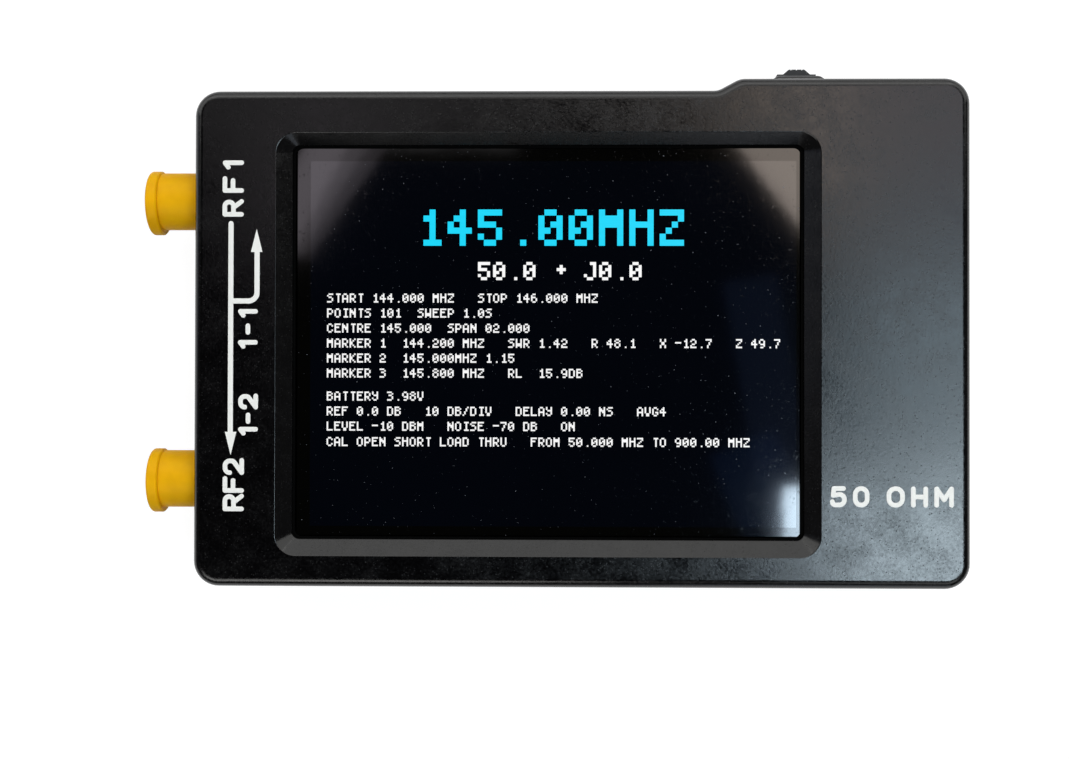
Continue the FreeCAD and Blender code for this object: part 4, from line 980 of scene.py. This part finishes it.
class ANALYZER_OT_board(bpy.types.Operator):
    """Finish the circuit board and what is soldered on it"""
    bl_idname = "analyzer.board"
    bl_label = "Circuit board"

    def execute(self, context):
        dress("main_board", finish("solder_mask", solder_mask))
        for node in ("shield_can_1", "shield_can_2", "crystals"):
            dress(node, steel())
        for node in ("mixer_chips", "microcontroller", "clock_chip", "codec_chip", "charger_chip"):
            dress(node, black_moulding())
        dress("status_lights", finish("lamp_lens", plain_plastic, (0.75, 0.80, 0.74), 0.15))
        dress("board_passives", finish("chip_ceramic", plain_plastic, (0.42, 0.34, 0.25), 0.5))
        return {"FINISHED"}


class ANALYZER_OT_battery(bpy.types.Operator):
    """Finish the battery, its leads and their plug"""
    bl_idname = "analyzer.battery"
    bl_label = "Battery"

    def execute(self, context):
        dress("battery_cell", finish("crinkled_foil", crinkled_foil))
        dress("battery_pad", black_foam())
        for name, tint in (("red", (0.55, 0.015, 0.012)), ("black", (0.012, 0.012, 0.012))):
            dress("battery_lead_" + name, finish(name + "_silicone", plain_plastic, tint, 0.5))
        for node in ("battery_socket", "battery_plug"):
            dress(node, white_moulding())
        return {"FINISHED"}


# ------------------------------ stage

# The soft lamps overhead, which face straight down: middle, turn in degrees, size, brightness,
# where 1 is white, and colour. Lengths are in millimetres.
OVERHEAD = {
    "window": ((247, -110, 600), 10, (200, 135), 13.0, (0.74, 0.90, 1.0)),
    "window_sill": ((127, -75, 600), 0, (18, 36), 15.0, (0.68, 0.85, 1.0)),
    "window_glow": ((114, -18, 606), 10, (30, 150), 0.09, (0.30, 0.46, 1.0)),
    "window_haze": ((108, -62, 603), 22, (38, 62), 0.10, (0.14, 0.34, 1.0)),
    "window_side": ((240, 12, 600), 0, (180, 94), 4.4, (0.68, 0.87, 1.0)),
    "ceiling_right": ((240, 206, 600), 0, (180, 190), 1.65, (1.0, 0.94, 1.0)),
    "ceiling_blue": ((240, 85, 600), 0, (180, 52), 1.75, (0.78, 0.87, 1.0)),
    "ceiling_corner": ((142, 129, 600), 38, (80, 110), 3.0, (1.0, 0.86, 0.76)),
    "ceiling_left": ((-132, 107, 600), -35, (36, 76), 0.40, (1.0, 0.90, 1.0)),
    "ceiling_left_mid": ((-136, 108, 603), -32, (29, 80), 0.45, (1.0, 0.90, 1.0)),
    "ceiling_left_far": ((-141, 108, 606), -28, (22, 84), 0.65, (1.0, 0.90, 1.0)),
    "ceiling_dim": ((-145, 190, 600), 0, (240, 130), 0.34, (1.0, 0.96, 0.98)),
    "ceiling_far": ((10, 230, 600), 0, (220, 100), 2.0, (1.0, 0.95, 0.92)),
}

# The same, without a turn, for those round the object, which face its middle.
AROUND = {
    "wall": ((0, 760, 430), (1000, 560), 1.5, (1.0, 1.0, 0.99)),
    "wall_high": ((0, 560, 700), (800, 360), 1.5, (1.0, 1.0, 0.98)),
    "wall_left": ((-620, 480, 400), (600, 560), 1.6, (1.0, 1.0, 0.98)),
    "wall_right": ((620, 480, 400), (600, 560), 1.4, (1.0, 1.0, 0.98)),
    "fill_left": ((-250, -480, 560), (520, 300), 3.1, (1.0, 0.99, 0.97)),
    "fill_right": ((330, -470, 560), (360, 300), 1.2, (0.94, 0.98, 1.0)),
    "low_right": ((190, -640, 130), (260, 200), 0.9, (0.78, 0.87, 1.0)),
    "low_left": ((-640, 130, 140), (300, 200), 0.4, (0.74, 0.80, 1.0)),
}
MIDDLE = (0, 0, 10)

# Where the backdrop ends and where the room overhead begins, as the height of a direction.
BACKDROP_TOP = (0.0, 0.10)
CEILING_EDGE = (0.55, 0.90)

# How far from the object the lamps' light on the floor begins and ends to fade, in metres.
LAMP_REACH = (0.3, 1.2)


def soft_light(name, middle, target, turn, size, brightness, tint):
    """A rectangle of even brightness that faces a point."""
    light = bpy.data.lights.new(name, "AREA")
    light.shape = "RECTANGLE"
    light.size, light.size_y = (side * MM for side in size)
    light.color = tint
    light.energy = brightness * math.pi * light.size * light.size_y
    made = bpy.data.objects.new(name, light)
    made.location = Vector(middle) * MM
    aim = Vector(target) * MM - made.location
    facing = aim.to_track_quat("-Z", "Y").to_matrix() @ Matrix.Rotation(math.radians(turn), 3, "Z")
    made.rotation_euler = facing.to_euler()
    bpy.context.scene.collection.objects.link(made)


def shown(graph):
    """1 for the rays that show the background: the camera's, and those in gloss and in glass."""
    rays = graph.add("ShaderNodeLightPath").socket.node.outputs
    camera, gloss, clear = (Value(graph, rays[name]) for name in
                            ("Is Camera Ray", "Is Glossy Ray", "Is Transmission Ray"))
    return camera, gloss.larger(clear)


def room(settings):
    """A white backdrop up to a low height, and over it a dim room that the camera doesn't see."""
    world = bpy.data.worlds.new("room")
    world.use_nodes = True
    world.node_tree.nodes.clear()
    graph = Graph(world.node_tree)
    camera, gloss = shown(graph)
    _, _, up = graph.add("ShaderNodeTexCoord", {}, {}, "Generated").parts()
    backdrop = 1 - graph.step(up, *BACKDROP_TOP)
    seen = camera.larger(gloss * backdrop)
    height = graph.step(up, *CEILING_EDGE)
    dim = settings.sides + height * (settings.ceiling - settings.sides)
    light = graph.add("ShaderNodeBackground", {}, {"Color": paint((1, 1, 1)), "Strength": dim})
    white = graph.add("ShaderNodeBackground", {}, {"Color": paint((1, 1, 1)), "Strength": 1.0})
    both = graph.add("ShaderNodeMixShader", {}, {"Fac": seen, 1: light, 2: white})
    graph.add("ShaderNodeOutputWorld", {}, {"Surface": both})
    bpy.context.scene.world = world


def floor(settings):
    """A pale floor that keeps the shadow and looks white round it, where the lamps reach and
    where they no longer do."""
    half = settings.floor_size / 2
    gap = 0.02 * MM

    def square(made):
        level = cad_box[0].z - gap
        made.faces.new([made.verts.new((x * half, y * half, level))
                        for x, y in ((-1, -1), (1, -1), (1, 1), (-1, 1))])

    made = bpy.data.objects.new("floor", to_mesh("floor", square))
    material = bpy.data.materials.new("pale_floor")
    material.use_nodes = True
    material.node_tree.nodes.clear()
    graph = Graph(material.node_tree)
    camera, gloss = shown(graph)
    lit = graph.add("ShaderNodeBsdfDiffuse", {}, {"Color": paint([settings.floor_grey] * 3)})
    x, y, _ = graph.add("ShaderNodeTexCoord", {}, {}, "Object").parts()
    near, far = LAMP_REACH
    away = graph.step(x * x + y * y, near ** 2, far ** 2)
    pale = graph.mix(away, [settings.floor_glow] * 3, (1.0, 1.0, 1.0))
    white = graph.add("ShaderNodeEmission", {}, {"Color": pale, "Strength": 1.0})
    nothing = graph.add("ShaderNodeEmission", {}, {"Strength": 0.0})
    seen = camera.larger(gloss)
    glow = graph.add("ShaderNodeMixShader", {}, {"Fac": seen, 1: nothing, 2: white})
    both = graph.add("ShaderNodeAddShader", {}, {0: lit, 1: glow})
    graph.add("ShaderNodeOutputMaterial", {}, {"Surface": both})
    made.data.materials.append(material)
    bpy.context.scene.collection.objects.link(made)


def camera(settings):
    lens = bpy.data.cameras.new("camera")
    lens.lens = settings.focal
    lens.sensor_width = 36
    lens.clip_start = 0.005
    lens.clip_end = 50
    made = bpy.data.objects.new("camera", lens)
    made.location = settings.eye
    made.rotation_euler = settings.turn
    bpy.context.scene.collection.objects.link(made)
    bpy.context.scene.camera = made


class ANALYZER_OT_stage(bpy.types.Operator):
    """Set up the floor, the soft lights, the room and the camera"""
    bl_idname = "analyzer.stage"
    bl_label = "Stage"

    def execute(self, context):
        settings = context.scene.analyzer_stage
        camera(settings)
        floor(settings)
        room(settings)
        for name, (middle, turn, *look) in OVERHEAD.items():
            soft_light(name, middle, (*middle[:2], 0), turn, *look)
        for name, (middle, *look) in AROUND.items():
            soft_light(name, middle, MIDDLE, 0, *look)
        context.scene.view_settings.view_transform = "Standard"
        return {"FINISHED"}


# ------------------------------ add-on

OPERATORS = (ANALYZER_OT_stage, ANALYZER_OT_case, ANALYZER_OT_display, ANALYZER_OT_marks,
             ANALYZER_OT_jacks, ANALYZER_OT_caps, ANALYZER_OT_controls, ANALYZER_OT_screws,
             ANALYZER_OT_usb, ANALYZER_OT_board, ANALYZER_OT_battery)


class ANALYZER_PT_parts(bpy.types.Panel):
    """Lists the steps that dress the analyzer"""
    bl_label = "Antenna analyzer"
    bl_idname = "ANALYZER_PT_parts"
    bl_space_type = "VIEW_3D"
    bl_region_type = "UI"
    bl_category = "Analyzer"

    def draw(self, context):
        for operator in OPERATORS:
            self.layout.operator(operator.bl_idname)
        for name, settings in SETTINGS.items():
            box = self.layout.box()
            box.label(text=settings.__doc__)
            for title in settings.__annotations__:
                box.prop(getattr(context.scene, name), title)


def register():
    for settings in SETTINGS.values():
        bpy.utils.register_class(settings)
    for name, settings in SETTINGS.items():
        setattr(bpy.types.Scene, name, bpy.props.PointerProperty(type=settings))
    for operator in OPERATORS:
        bpy.utils.register_class(operator)
    bpy.utils.register_class(ANALYZER_PT_parts)


def unregister():
    bpy.utils.unregister_class(ANALYZER_PT_parts)
    for operator in reversed(OPERATORS):
        bpy.utils.unregister_class(operator)
    for name in SETTINGS:
        delattr(bpy.types.Scene, name)
    for settings in reversed(SETTINGS.values()):
        bpy.utils.unregister_class(settings)


def main():
    register()
    for operator in OPERATORS:
        group, step = operator.bl_idname.split(".")
        getattr(getattr(bpy.ops, group), step)()


if __name__ == "__main__":
    main()
